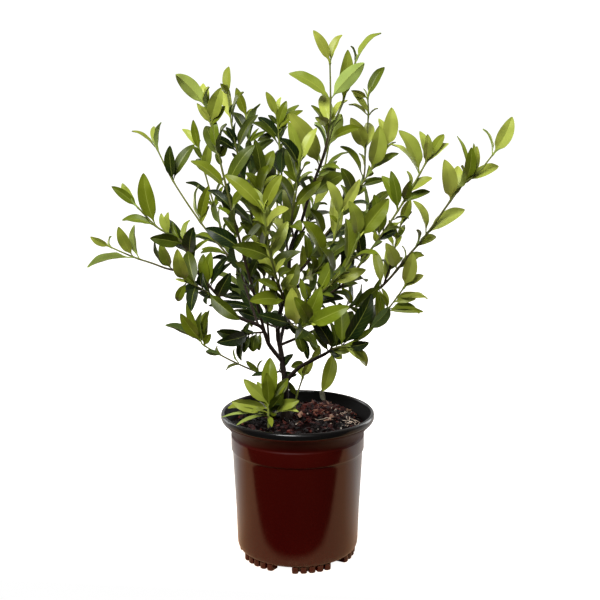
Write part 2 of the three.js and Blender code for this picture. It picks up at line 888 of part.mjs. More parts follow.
// Soil: fills the pot's inside and mounds a little round the trunk.
function soilHeight(radius, angle, random) {
  const share = radius / 92;
  const mound = soilMoundHeight * (1 - share * share);
  return soilEdgeHeight + mound + soilRelief * (2 * random() - 1) * (share < 0.99 ? 1 : 0.4);
}

function makeSoil() {
  const random = seededRandom(plantSeed + 7);
  const inner = [
    [potBaseRadius - potWall, 19], [89.7, 128], [potBodyTopRadius - potWall, 150], [91.8, 178], [95.2, 188],
  ];
  const points = [new THREE.Vector3(0, 0, potFloorTop + soilGap)];
  const rings = [[79, potFloorTop + 0.8], ...inner].map(([radius, height]) => [radius - soilGap - 1, height]);
  const triangles = [];
  for (const [radius, height] of rings) {
    for (let j = 0; j < soilSpokes; j += 1) {
      const angle = (j / soilSpokes) * 2 * Math.PI;
      points.push(new THREE.Vector3(radius * Math.cos(angle), radius * Math.sin(angle), height));
    }
  }
  const edge = rings[rings.length - 1][0];
  for (let ring = 1; ring < soilRings; ring += 1) {
    const radius = edge * (1 - ring / soilRings);
    for (let j = 0; j < soilSpokes; j += 1) {
      const angle = (j / soilSpokes) * 2 * Math.PI;
      const height = soilHeight(radius, angle, random);
      points.push(new THREE.Vector3(radius * Math.cos(angle), radius * Math.sin(angle), height));
    }
  }
  points.push(new THREE.Vector3(0, 0, soilEdgeHeight + soilMoundHeight));
  const loops = rings.length + soilRings - 1;
  const top = points.length - 1;
  for (let j = 0; j < soilSpokes; j += 1) {
    const next = (j + 1) % soilSpokes;
    triangles.push(0, 1 + next, 1 + j);
    for (let loop = 0; loop < loops - 1; loop += 1) {
      const a = 1 + loop * soilSpokes + j;
      const b = 1 + loop * soilSpokes + next;
      triangles.push(a, b, b + soilSpokes, a, b + soilSpokes, a + soilSpokes);
    }
    const lastLoop = 1 + (loops - 1) * soilSpokes;
    triangles.push(lastLoop + j, lastLoop + next, top);
  }
  return solidOf(closedGeometry(points, triangles));
}

const group = new THREE.Group();

function addPiece(name, solid, colour, roughness) {
  const material = new THREE.MeshStandardMaterial({ color: colour, roughness, metalness: 0 });
  const mesh = new THREE.Mesh(geometryOf(solid), material);
  mesh.name = name;
  group.add(mesh);
}

const allStems = { ...leafyStems, ...soilShoots };
for (const axes of Object.values(allStems)) {
  for (const axis of axes) {
    routes[axis.name] = axisRoute(axis);
  }
}

const pot = makePot();
let soil = makeSoil();
const trunk = trunkSolid(0);
const trunkRoom = trunkSolid(gap);
soil = soil.subtract(trunkRoom);
for (const axes of Object.values(soilShoots)) {
  soil = soil.subtract(joined(stemSolids(axes, gap)));
}

// Everything that a leaf has to stay clear of: pot, soil, wood, and then the leaves placed before it.
const obstacles = [pot, soil, trunk].map((solid) => ({ solid, box: boxOf(solid), owner: 'frame' }));
for (const [name, axes] of Object.entries(allStems)) {
  for (const solid of stemSolids(axes, leafClearance)) {
    obstacles.push({ solid, box: boxOf(solid), owner: name });
  }
}

addPiece('pot', pot, potColour, 0.35);
addPiece('soil', soil, soilColour, 0.95);
addPiece('trunk', trunk, barkColour, 0.85);
const random = seededRandom(plantSeed);
for (const [name, axes] of Object.entries(allStems)) {
  let plant = joined(stemSolids(axes, 0)).subtract(trunkRoom);
  for (const axis of axes) {
    for (const leaf of leavesOf(axis, routes[axis.name], random)) {
      const tries = bends.map((bend) => bentLeaf(leaf, bend));
      const placed = tries.find((tried) => !meets(solidOf(leafGeometry(tried, leafClearance)), obstacles));
      if (!placed) {
        continue;
      }
      const room = solidOf(leafGeometry(placed, leafRoom));
      obstacles.push({ solid: room, box: boxOf(room), owner: name });
      plant = plant.add(solidOf(leafGeometry(placed)));
    }
  }
  addPiece(name, plant, leafColour, 0.4);
}

export default group;
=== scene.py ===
import math
import random

import bpy
from mathutils import Euler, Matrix, Vector, kdtree, noise


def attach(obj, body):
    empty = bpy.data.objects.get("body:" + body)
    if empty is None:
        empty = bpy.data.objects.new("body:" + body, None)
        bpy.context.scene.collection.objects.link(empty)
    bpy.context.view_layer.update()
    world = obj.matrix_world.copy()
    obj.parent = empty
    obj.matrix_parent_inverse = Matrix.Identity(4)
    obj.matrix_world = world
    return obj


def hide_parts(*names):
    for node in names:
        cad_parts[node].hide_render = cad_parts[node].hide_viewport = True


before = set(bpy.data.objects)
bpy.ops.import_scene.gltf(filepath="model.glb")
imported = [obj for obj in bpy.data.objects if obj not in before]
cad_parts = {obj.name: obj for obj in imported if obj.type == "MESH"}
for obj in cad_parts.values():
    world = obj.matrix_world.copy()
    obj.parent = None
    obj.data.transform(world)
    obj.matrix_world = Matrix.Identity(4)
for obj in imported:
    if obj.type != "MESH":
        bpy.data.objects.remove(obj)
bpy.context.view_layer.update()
scene = bpy.context.scene
mm = 0.001
print("frame loaded:", len(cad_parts), "nodes")


def addObject(name, data):
    added = bpy.data.objects.new(name, data)
    scene.collection.objects.link(added)
    return added


# Camera, at the photograph's own angle
cameraPlan = {"place": (0.0034, -1.363, 0.628), "pitchDown": 10.79, "lens": 60, "sensor": 36}

cameraData = bpy.data.cameras.new("photoCamera")
cameraData.lens = cameraPlan["lens"]
cameraData.sensor_width = cameraPlan["sensor"]
camera = addObject("photoCamera", cameraData)
camera.location = cameraPlan["place"]
camera.rotation_euler = (math.radians(90 - cameraPlan["pitchDown"]), 0, 0)
scene.camera = camera

# Shoots, in millimetres: the same routes and leaf reaches that the solids follow
limbPlan = {
    "base": {
        "radii": [7.5, 5.4],
        "route": [[-16, 0, 158], [-16, 0, 198], [-18, 0, 224], [-18, 0, 251]],
    },
    "main": {
        "radii": [3.9, 2.1],
        "route": [
            [-18, 0, 249], [-22, 3, 285], [-27, 6, 313], [-27, 8, 338], [-20, 10, 366],
            [-13, 10, 402], [-10, 8, 437], [-3, 5, 458], [6, 2, 479],
        ],
    },
    "left": {
        "radii": [3, 2.2],
        "route": [
            [-22, 3, 280], [-39, -12, 307], [-49, -24, 334], [-71, -34, 347], [-93, -42, 360],
            [-107, -48, 384],
        ],
    },
    "lowRight": {
        "radii": [3.2, 2.2],
        "route": [[-18, 0, 250], [0, -20, 275], [19, -34, 290], [38, -46, 303]],
    },
    "front": {
        "radii": [2.8, 2],
        "route": [[-27, 7, 326], [-20, -22, 344], [-14, -50, 360]],
    },
    "back": {
        "radii": [2.8, 2],
        "route": [[-25, 5, 303], [-20, 35, 322], [-10, 62, 345]],
    },
}

# Each twig: the route and share it starts from, thickness at its foot, route, and its pairs of leaves.
# A pair: share of the route, then the reach to each given tip and how far that leaf turns to the light
stemPlan = {
    "leafy_stem_left_upper": [
        {"name": "leftUpper", "from": ["left", 1], "girth": 2,
            "route": [
                [-135, -52, 419], [-150, -56, 454], [-168, -58, 467], [-185, -60, 478], [-208, -62, 503],
            ],
            "nodes": [
                [1, [-31, -8, 28, 0.8], [-20, 12, 33, 0.3]],
                [0.81, [-12, -12, 68, 1], [-46, 12, 7, 0.1]],
                [0.4, [-39, -26, 11, 1], [6, 16, 31, 0.5]],
                [0.3, [-34, 22, 56, 1], [8, -30, 42, 0.9]],
                [0.12, [-32, 6, -19, 1]],
            ],
        },
        {"name": "leftMid", "from": ["leftUpper", 0.2], "girth": 1.5,
            "route": [[-171, -20, 414], [-201, 0, 420], [-230, 24, 425], [-266, 46, 436]],
            "nodes": [
                [1, [-24, -16, 16, 1], [-4, 24, 13, 0.3]],
                [0.75, [-66, 4, -13, 0.25], [-15, -20, 43, 1]],
                [0.68, [-18, 18, 46, 0.1]],
                [0.25, [-11, -24, 38, 1], [-32, 20, 28, 0.5]],
            ],
        },
    ],
    "leafy_stem_left_low": [
        {"name": "leftLow", "from": ["main", 0.06], "girth": 1.4,
            "route": [[-49, 16, 259], [-91, 40, 269], [-135, 60, 288], [-142, 66, 294]],
            "nodes": [
                [1, [-52, 6, 25, 0.1], [-27, -16, 44, 1]],
                [0.77, [-24, 12, 63, 0.8], [5, 26, 46, 0.6]],
                [0.3, [-15, -5, 15, 1], [7, 5, 14, 0.5]],
            ],
        },
    ],
    "leafy_stem_left_long": [
        {"name": "leftLong", "from": ["left", 0.45], "girth": 1.8,
            "route": [[-80, 20, 400], [-100, 28, 429], [-137, 42, 472], [-176, 56, 529], [-200, 66, 576]],
            "nodes": [
                [1, [-31, -10, 24, 0.5], [-11, 16, 32, 1]],
                [0.98, [5, -6, 40, 0.2]],
                [0.8, [-2, -14, 49, 1], [29, 14, 51, 0.7]],
                [0.6, [14, -16, 52, 1], [-6, 14, 52, 0.3]],
                [0.4, [-34, -18, 5, 0.5], [-22, 14, 23, 0.3]],
                [0.2],
            ],
        },
    ],
    "leafy_stem_back_left": [
        {"name": "backLeft", "from": ["main", 0.36], "girth": 1.9,
            "route": [
                [-77, 66, 385], [-103, 96, 432], [-114, 106, 458], [-123, 114, 487], [-137, 124, 536],
                [-145, 128, 569],
            ],
            "nodes": [
                [1, [-8, -8, 44, 1], [-26, 14, 32, 0.4]],
                [0.83, [8, -18, 47, 1], [-27, 12, 29, 0.8]],
                [0.68],
                [0.5],
                [0.3],
            ],
        },
    ],
    "leafy_stem_front_left": [
        {"name": "frontLeft", "from": ["left", 0.3], "girth": 2,
            "route": [
                [-65, -74, 422], [-78, -104, 485], [-90, -118, 542], [-103, -126, 603], [-111, -128, 632],
            ],
            "nodes": [
                [1, [-34, -10, 38, -1], [-4, 10, 28, 0.3]],
                [0.96, [3, -20, 28, 0.5]],
                [0.84, [-15, -14, 25, 1], [13, -14, 43, 1]],
                [0.68],
                [0.56],
                [0.4],
                [0.28],
                [0.14],
            ],
        },
    ],
    "leafy_stem_upper_left": [
        {"name": "upperLeft", "from": ["main", 0.52], "girth": 1.8,
            "route": [[-47, -26, 428], [-61, -38, 490], [-73, -44, 549], [-84, -48, 602], [-89, -50, 646]],
            "nodes": [
                [1, [0, 6, 37, 0.5], [-8, -16, 14, 0.8]],
                [0.84],
                [0.69],
                [0.5],
                [0.35],
            ],
        },
    ],
    "leafy_stem_back_upper": [
        {"name": "backUpper", "from": ["main", 0.44], "girth": 1.8,
            "route": [[-37, 50, 402], [-52, 72, 464], [-64, 86, 528], [-69, 92, 571], [-74, 96, 617]],
            "nodes": [
                [1, [-13, -10, 41, 1], [10, 10, 13, 0.1]],
                [0.86],
                [0.68],
                [0.5],
                [0.33],
            ],
        },
    ],
    "leafy_stem_upper_mid": [
        {"name": "upperMid", "from": ["main", 0.66], "girth": 1.7,
            "route": [[-17, 36, 462], [-21, 46, 517], [-25, 52, 572], [-29, 54, 618]],
            "nodes": [
                [1, [-14, -8, 34, 1], [5, 12, 28, 0.4]],
                [0.92, [12, -6, 36, 1]],
                [0.79, [-29, -16, 40, 0.5], [26, 14, 57, 0.3]],
                [0.58],
                [0.38],
                [0.2],
            ],
        },
    ],
    "leafy_stem_top": [
        {"name": "top", "from": ["main", 1], "girth": 2.2,
            "route": [
                [15, -2, 510], [25, -8, 540], [36, -14, 569], [47, -8, 604], [60, 0, 636], [70, 6, 667],
                [78, 10, 692],
            ],
            "nodes": [
                [1, [33, 8, 39, 0.4], [-6, -8, 19, 0.5]],
                [0.72, [6, -26, 66, 1], [26, 12, 31, 0.2]],
                [0.5],
                [0.35, [-39, -44, 70, 1], [26, -20, -1, 0.5]],
                [0.14],
            ],
        },
        {"name": "topTwin", "from": ["top", 0.29], "girth": 1.4,
            "route": [[37, -22, 578], [43, -30, 616], [43, -34, 653], [42, -38, 687]],
            "nodes": [
                [1, [-21, -12, 40, 1], [15, 8, 37, 0.1]],
                [0.67, [-54, 6, 35, 0.5], [43, -10, 46, -1]],
                [0.45, [-18, -26, 9, 1], [-10, 22, 39, 1]],
            ],
        },
    ],
    "leafy_stem_right_upper": [
        {"name": "rightUpper", "from": ["main", 0.57], "girth": 1.9,
            "route": [
                [14, 4, 421], [33, 0, 452], [55, -4, 481], [74, -10, 509], [96, -18, 545], [117, -24, 576],
            ],
            "nodes": [
                [1, [6, -16, 54, 1], [-8, 14, 41, 0.6]],
                [0.85, [8, -16, 61, 1], [38, 12, 24, 0.2]],
                [0.67, [-16, -30, 41, 0.8], [19, 20, 15, 0.8]],
                [0.5],
                [0.33],
                [0.18],
            ],
        },
        {"name": "rightTwin", "from": ["rightUpper", 0.58], "girth": 1.4,
            "route": [[80, 14, 517], [92, 30, 537], [94, 38, 574], [98, 44, 619], [97, 46, 643]],
            "nodes": [
                [1, [23, 12, 44, 0.6], [-23, -14, 10, 1]],
                [0.81, [-26, 12, 17, 0.2], [12, -8, 11, 0.2]],
                [0.59, [-22, -28, 43, 1], [6, 26, 45, 1]],
                [0.39, [-30, -10, 42, 0.5]],
            ],
        },
    ],
    "leafy_stem_right_mid": [
        {"name": "rightMid", "from": ["main", 0.34], "girth": 1.9,
            "route": [
                [30, -30, 374], [63, -46, 400], [85, -56, 430], [107, -64, 463], [129, -72, 498],
                [147, -78, 530], [165, -84, 565],
            ],
            "nodes": [
                [1, [-11, -10, 36, 0.8], [22, 12, 33, 0.2]],
                [0.98, [0, -22, 37, 1], [31, 14, 27, 0.2]],
                [0.93, [-27, -10, 55, 0.6], [-35, 16, 39, 0.3]],
                [0.77, [5, -32, 29, 1], [36, 10, 14, 0.5]],
                [0.72, [-9, -20, 49, 1], [-19, 18, 45, 0.5]],
                [0.57, [-8, -22, 58, 1], [-35, 20, 35, 0.7]],
                [0.43, [-15, -20, 61, 1], [-47, 14, 24, 1]],
                [0.28],
            ],
        },
    ],
    "leafy_stem_far_right": [
        {"name": "farRight", "from": ["main", 0.2], "girth": 2.1,
            "route": [
                [31, 26, 323], [74, 40, 350], [121, 46, 380], [158, 40, 426], [180, 34, 454],
                [214, 26, 506], [231, 22, 529], [248, 18, 543], [267, 14, 568],
            ],
            "nodes": [
                [1, [22, -12, 50, 1], [-11, 14, 35, 0.1]],
                [0.79, [50, 8, 17, 0.3], [2, -22, 46, 1]],
                [0.71, [24, 12, 65, 0.4], [-6, -14, 60, 0.5]],
                [0.66, [-11, -24, 59, 1], [14, 20, 50, 0.8]],
                [0.56, [50, 6, 43, 0.5], [-20, -10, 47, 0.5]],
                [0.39, [38, 16, 24, 0.5], [-17, -24, 41, 1]],
                [0.33, [-9, 20, 50, 1], [-38, -22, -27, 0.6]],
                [0.21],
            ],
        },
        {"name": "farTwin", "from": ["farRight", 0.34], "girth": 1.5,
            "route": [[134, 36, 422], [139, 32, 448], [145, 28, 474]],
            "nodes": [
                [1, [10, -14, 33, 1], [-25, 12, -23, 0.8]],
                [0.66, [-12, -17, 30, 1], [12, 11, 24, 0.8]],
            ],
        },
    ],
    "leafy_stem_right_low": [
        {"name": "rightLow", "from": ["lowRight", 0.36], "girth": 1.5,
            "route": [[45, -2, 295], [91, 10, 315], [127, 20, 351], [150, 26, 381]],
            "nodes": [
                [1, [10, -14, 51, 1], [29, 12, 17, 0.6]],
                [0.89, [22, -20, 10, 1], [45, 8, -2, 0.4]],
                [0.76, [47, 8, -6, 0.4], [-12, -10, 23, 0.7]],
                [0.55],
            ],
        },
    ],
    "leafy_stem_low_cluster": [
        {"name": "lowCluster", "from": ["lowRight", 1], "girth": 1.9,
            "route": [[47, -58, 312], [59, -68, 318], [69, -74, 320]],
            "nodes": [
                [1, [23, -28, 11, 1], [25, 14, -31, 0.4]],
                [0.66, [40, -14, 74, 1], [-2, 14, 58, 1]],
                [0.34, [-34, -26, 58, 1], [-14, -18, -53, 1]],
                [0.14, [22, -26, -2, 1], [33, 20, 53, 1]],
            ],
        },
    ],
    "leafy_stem_inner_chain": [
        {"name": "innerChain", "from": ["left", 0.2], "girth": 1.6,
            "route": [[-43, -44, 377], [-45, -60, 431], [-47, -68, 480], [-47, -72, 518], [-46, -74, 537]],
            "nodes": [
                [1, [-7, -14, 54, 1], [15, 16, 40, 1]],
                [0.77],
                [0.6],
                [0.43],
                [0.28],
            ],
        },
    ],
    "leafy_stem_left_cluster": [
        {"name": "leftCluster", "from": ["left", 0.8], "girth": 1.6,
            "route": [[-110, -72, 386], [-128, -98, 404], [-140, -114, 413]],
            "nodes": [
                [1, [-8, -30, 45, 1], [-14, 14, -28, 1]],
                [0.72, [-2, -44, -22, 1], [-13, 30, 42, 1]],
                [0.48, [43, -16, -33, 1]],
                [0.26, [18, 20, -20, 1], [10, -30, 40, 1]],
            ],
        },
    ],
    "leafy_stem_lower_left": [
        {"name": "lowerLeft", "from": ["left", 0.34], "girth": 1.5,
            "route": [[-63, -30, 328], [-74, -44, 327]],
            "nodes": [
                [1, [-34, -14, 9, 1], [-3, -6, -33, 0.1]],
                [0.6, [-8, -10, -24, 1], [-30, -56, 3, 1]],
            ],
        },
    ],
    "leafy_stem_front_mid": [
        {"name": "frontMid", "from": ["front", 1], "girth": 1.8,
            "route": [[-18, -80, 384], [-28, -112, 424], [-36, -136, 466], [-40, -150, 505]],
            "nodes": [[1], [0.82], [0.62], [0.42], [0.22]],
        },
    ],
    "leafy_stem_front_right": [
        {"name": "frontRight", "from": ["front", 0.65], "girth": 1.8,
            "route": [[8, -64, 374], [32, -98, 398], [58, -124, 430], [74, -140, 470]],
            "nodes": [[1], [0.8], [0.6], [0.42], [0.24]],
        },
    ],
    "leafy_stem_front_low": [
        {"name": "frontLow", "from": ["front", 0.85], "girth": 1.6,
            "route": [[-8, -82, 352], [2, -118, 354], [14, -150, 366]],
            "nodes": [[1], [0.78], [0.55], [0.34]],
        },
    ],
    "leafy_stem_back_mid": [
        {"name": "backMid", "from": ["back", 1], "girth": 1.8,
            "route": [[-14, 92, 380], [-24, 124, 424], [-30, 146, 470], [-32, 158, 520]],
            "nodes": [[1], [0.82], [0.64], [0.44], [0.22]],
        },
    ],
    "leafy_stem_back_right": [
        {"name": "backRight", "from": ["back", 0.75], "girth": 1.8,
            "route": [[18, 80, 354], [52, 112, 384], [84, 140, 424], [104, 156, 466]],
            "nodes": [[1], [0.8], [0.62], [0.44], [0.24]],
        },
    ],
    "leafy_stem_back_low": [
        {"name": "backLow", "from": ["back", 0.5], "girth": 1.6,
            "route": [[-44, 76, 318], [-66, 112, 332], [-84, 146, 356]],
            "nodes": [[1], [0.78], [0.56], [0.34]],
        },
    ],
    "leafy_stem_back_top": [
        {"name": "backTop", "from": ["main", 0.74], "girth": 1.7,
            "route": [[12, 46, 468], [30, 80, 512], [42, 100, 560], [48, 108, 604]],
            "nodes": [[1], [0.82], [0.64], [0.46], [0.26]],
        },
    ],
    "leafy_stem_inner_right": [
        {"name": "innerRight", "from": ["main", 0.48], "girth": 1.6,
            "route": [[6, -22, 398], [30, -54, 424], [46, -74, 458], [54, -84, 492]],
            "nodes": [[1], [0.78], [0.56], [0.36]],
        },
    ],
    "leafy_stem_inner_top": [
        {"name": "innerTop", "from": ["main", 0.84], "girth": 1.5,
            "route": [[-8, -30, 482], [-2, -52, 520], [2, -62, 556]],
            "nodes": [[1], [0.74], [0.48], [0.26]],
        },
    ],
}

shootPlan = {
    "basal_shoot": [
        {"name": "basal", "girth": 2.2,
            "route": [[-40, -38, 166], [-40, -39, 196], [-40, -40, 216], [-39, -38, 232]],
            "nodes": [
                [1, [2, 8, 62, 1], [26, 16, 30, 1]],
                [0.92, [-2, -20, 50, 1], [-34, -6, 38, 1]],
                [0.8, [-50, -12, 14, 1], [41, -12, 16, 1]],
                [0.7, [-58, 16, 4, 0.3], [20, -22, 34, 1]],
                [0.74, [10, -26, 4, 1]],
            ],
        },
    ],
    "sucker": [
        {"name": "sucker", "girth": 1.5,
            "route": [[-4, 21, 166], [-4, 21, 198], [-2, 20, 221], [7, 16, 252]],
            "nodes": [
                [1, [14, -12, 34, 1], [-9, 14, 21, 1]],
                [0.7, [-16, -8, 26, 1]],
            ],
        },
    ],
}

# Ways out for a leaf that would meet another solid: turn round the stem, bend up, length kept
bendPlan = [
    [0, 0, 1], [16, 0, 1], [-16, 0, 1], [0, 12, 1], [0, -12, 1], [32, 6, 0.95], [-32, 6, 0.95],
    [48, -8, 0.88], [-48, -8, 0.88], [20, 18, 0.8], [-20, 18, 0.8], [0, 0, 0.66], [30, -14, 0.66],
    [-30, -14, 0.66], [70, 0, 0.7], [-70, 0, 0.7],
]

# Form of a leaf, the same as in the solids
leafPlan = {
    "seed": 45,
    "widthRatio": 0.4,
    "arch": 0.17,
    "archPlace": 0.45,
    "archInward": 0.5,
    "archUpward": 0.4,
    "top": 0.4,
    "stalkEnd": 0.12,
    "ruleLength": 58,
    "ruleLift": 0.42,
    "ruleTwist": 1.1,
    "rulePairTurn": 0.7,
    "ruleTurn": 0.3,
    "ruleSpread": (34, 34, 10),
    "ruleLengths": (0.8, 0.35),
    "givenTwist": 0.44,
    "ruleShare": 0.7,
    "ruleLight": (0, -0.7, 0.6),
    "centre": (-10, 0),
    "rootOffset": 0.7,
    "twigStep": 30,
    "twigTip": 1.3,
}

# Finer form of a leaf, shown here only
leafForm = {
    "along": 20,
    "taper": 0.7,
    "columns": 9,
    "thickness": 0.55,
    "bladeFull": 0.35,
    "stalkWidth": 0.8,
    "stalkThickness": 1.1,
    "fold": (0.12, 0.5),
    "foldPower": 1.3,
    "wave": 0.06,
    "waves": 15,
    "waveShift": 2.1,
    "widthSpread": (0.64, 0.94),
    "tipRows": 1.35,
    "ribDip": 0.35,
    "ribBulge": 0.45,
    "ribReach": 0.16,
    "tipDroop": 0.05,
    "droopStart": 0.75,
}


# Seeded draws, the same in every run
def seededDraws(seed):
    state = seed

    def draw():
        nonlocal state
        state = (state + 0x6D2B79F5) & 0xFFFFFFFF
        mixed = ((state ^ (state >> 15)) * (1 | state)) & 0xFFFFFFFF
        mixed = (mixed + ((mixed ^ (mixed >> 7)) * (61 | mixed))) & 0xFFFFFFFF ^ mixed
        return ((mixed ^ (mixed >> 14)) & 0xFFFFFFFF) / 4294967296

    return draw


# Smooth curve through the points of a route
def pointOn(route, fraction):
    spans = len(route) - 1
    along = min(max(fraction, 0) * spans, spans - 1e-9)
    span = int(along)
    u = along - span
    p1, p2 = route[span], route[span + 1]
    p0 = route[span - 1] if span > 0 else p1 * 2 - p2
    p3 = route[span + 2] if span + 2 <= spans else p2 * 2 - p1
    return 0.5 * (
        2 * p1 + (p2 - p0) * u + (2 * p0 - 5 * p1 + 4 * p2 - p3) * u * u
        + (3 * p1 - p0 - 3 * p2 + p3) * u * u * u
    )


def directionOn(route, fraction):
    ahead = min(fraction + 0.004, 1)
    behind = max(fraction - 0.004, 0)
    return (pointOn(route, ahead) - pointOn(route, behind)).normalized()


def routeLength(route):
    return sum((b - a).length for a, b in zip(route, route[1:]))


# Point on the straight steps that the solid twig has
def middleOf(route, fraction):
    steps = max(2, int(routeLength(route) / leafPlan["twigStep"] + 0.5))
    step = min(int(fraction * steps), steps - 1)
    return pointOn(route, step / steps).lerp(pointOn(route, (step + 1) / steps), fraction * steps - step)


routes = {name: [Vector(p) for p in limb["route"]] for name, limb in limbPlan.items()}
allStems = {**stemPlan, **shootPlan}
for axes in allStems.values():
    for axis in axes:
        own = [Vector(p) for p in axis["route"]]
        if "from" in axis:
            own.insert(0, pointOn(routes[axis["from"][0]], axis["from"][1]))
        routes[axis["name"]] = own


# The part of a direction that is square to a leaf's chord
def squaredTo(chord, direction):
    square = direction - chord * direction.dot(chord)
    if square.length < 0.08:
        square = Vector((0, -1, 0)) + chord * chord.y
    return square.normalized()


# Where the upper side of a leaf turns to: away from the middle, to the front and up
def lightAt(root):
    away = Vector((root.x - leafPlan["centre"][0], root.y - leafPlan["centre"][1], 0)).normalized()
    return (away + Vector(leafPlan["ruleLight"])).normalized()


# The leaves of one twig: those given in the plan, and the rest of each pair by rule
def leavesOf(axis, route, draw):
    narrowest, opening, uneven = leafPlan["ruleSpread"]
    shortest, longer = leafPlan["ruleLengths"]
    leaves = []
    for order, (fraction, *reaches) in enumerate(axis["nodes"]):
        root = middleOf(route, fraction)
        stemDirection = directionOn(route, fraction)
        side = Vector((0, 1, 0)).cross(stemDirection).normalized()
        deep = stemDirection.cross(side)
        pairTurn = math.pi / 2 * order + draw() * leafPlan["rulePairTurn"]
        spread = math.radians(narrowest + opening * (1 - fraction) + uneven * draw())
        given = len(reaches) > 0
        for k in range(max(2, len(reaches))):
            turn = pairTurn + math.pi * k + leafPlan["ruleTurn"] * (draw() - 0.5)
            length = leafPlan["ruleLength"] * (shortest + longer * draw())
            twist = leafPlan["givenTwist" if given else "ruleTwist"] * (draw() - 0.5)
            if given and k >= len(reaches):
                continue
            if given:
                reach = Vector(reaches[k][:3])
                light, share = Vector((0, -1, 0)), reaches[k][3]
            else:
                outward = side * math.cos(turn) + deep * math.sin(turn)
                reach = stemDirection * math.cos(spread) + outward * math.sin(spread)
                reach = (reach + Vector((0, 0, leafPlan["ruleLift"]))).normalized() * length
                light, share = lightAt(root), leafPlan["ruleShare"]
            start = root + squaredTo(stemDirection, reach) * leafPlan["rootOffset"]
            leaves.append({
                "root": start, "reach": reach, "stem": stemDirection, "light": light, "share": share,
                "twist": twist, "fraction": fraction, "offset": pointOn(route, fraction) - root,
            })
    return leaves


def turned(vector, axis, angle):
    cos, sin = math.cos(angle), math.sin(angle)
    return vector * cos + axis.cross(vector) * sin + axis * axis.dot(vector) * (1 - cos)


def bentLeaf(leaf, bend):
    outward = leaf["reach"].cross(leaf["stem"])
    outward = outward.normalized() if outward.length > 1e-6 else Vector((1, 0, 0))
    reach = turned(leaf["reach"], outward, math.radians(bend[1]))
    reach = turned(reach, leaf["stem"], math.radians(bend[0])) * bend[2]
    return {**leaf, "reach": reach}


# A blade follows a bent line from root to tip, with its upper side turned partly to the light
def bladeAxes(leaf):
    length = leaf["reach"].length
    chord = leaf["reach"] / length
    share = leaf["share"]
    inward = squaredTo(chord, leaf["stem"])
    upper = squaredTo(chord, inward * (1 - abs(share)) + leaf["light"] * share)
    control = leaf["root"] + chord * (leafPlan["archPlace"] * length)
    control += inward * (leafPlan["arch"] * length * (1 - leafPlan["archInward"] * abs(share)))
    control += upper * (leafPlan["arch"] * length * leafPlan["archUpward"] * abs(share))
    return {
        "length": length, "upper": upper, "root": leaf["root"], "control": control,
        "tip": leaf["root"] + leaf["reach"], "twist": leaf["twist"],
    }


# Middle, side and upper face of the blade at the share t of its length
def bladeStation(axes, t):
    root, control, tip = axes["root"], axes["control"], axes["tip"]
    middle = root * (1 - t) ** 2 + control * (2 * t * (1 - t)) + tip * (t * t)
    forward = ((control - root) * (1 - t) + (tip - control) * t).normalized()
    side = forward.cross(axes["upper"]).normalized()
    face = side.cross(forward)
    cos, sin = math.cos(axes["twist"]), math.sin(axes["twist"])
    return middle, side * cos + face * sin, face * cos - side * sin


def smoothStep(low, high, value):
    u = min(max((value - low) / (high - low), 0), 1)
    return u * u * (3 - 2 * u)


def bladeWidth(t, halfWidth):
    profile = math.sin(math.pi * min(t, 0.9995) ** 1.2) ** leafForm["taper"]
    leafShare = smoothStep(leafPlan["stalkEnd"] * 0.6, 0.3, t)
    return leafForm["stalkWidth"] * (1 - leafShare) + halfWidth * profile * leafShare


# Mesh data gathered point by point: place on the leaf or stem, age and tint go along as attributes
def newPart():
    return {"points": [], "faces": [], "slots": [], "place": [], "age": [], "tint": []}


def addPoint(part, point, place, age, tint):
    part["points"].append(point * mm)
    part["place"].append(place)
    part["age"].append(age)
    part["tint"].append(tint)
    return len(part["points"]) - 1


def addFace(part, corners, slot):
    part["faces"].append(corners)
    part["slots"].append(slot)


# Faces between closed rings of points
def joinRings(part, rings, slot):
    for lower, upper in zip(rings, rings[1:]):
        for j in range(len(lower)):
            k = (j + 1) % len(lower)
            addFace(part, (lower[j], lower[k], upper[k], upper[j]), slot)


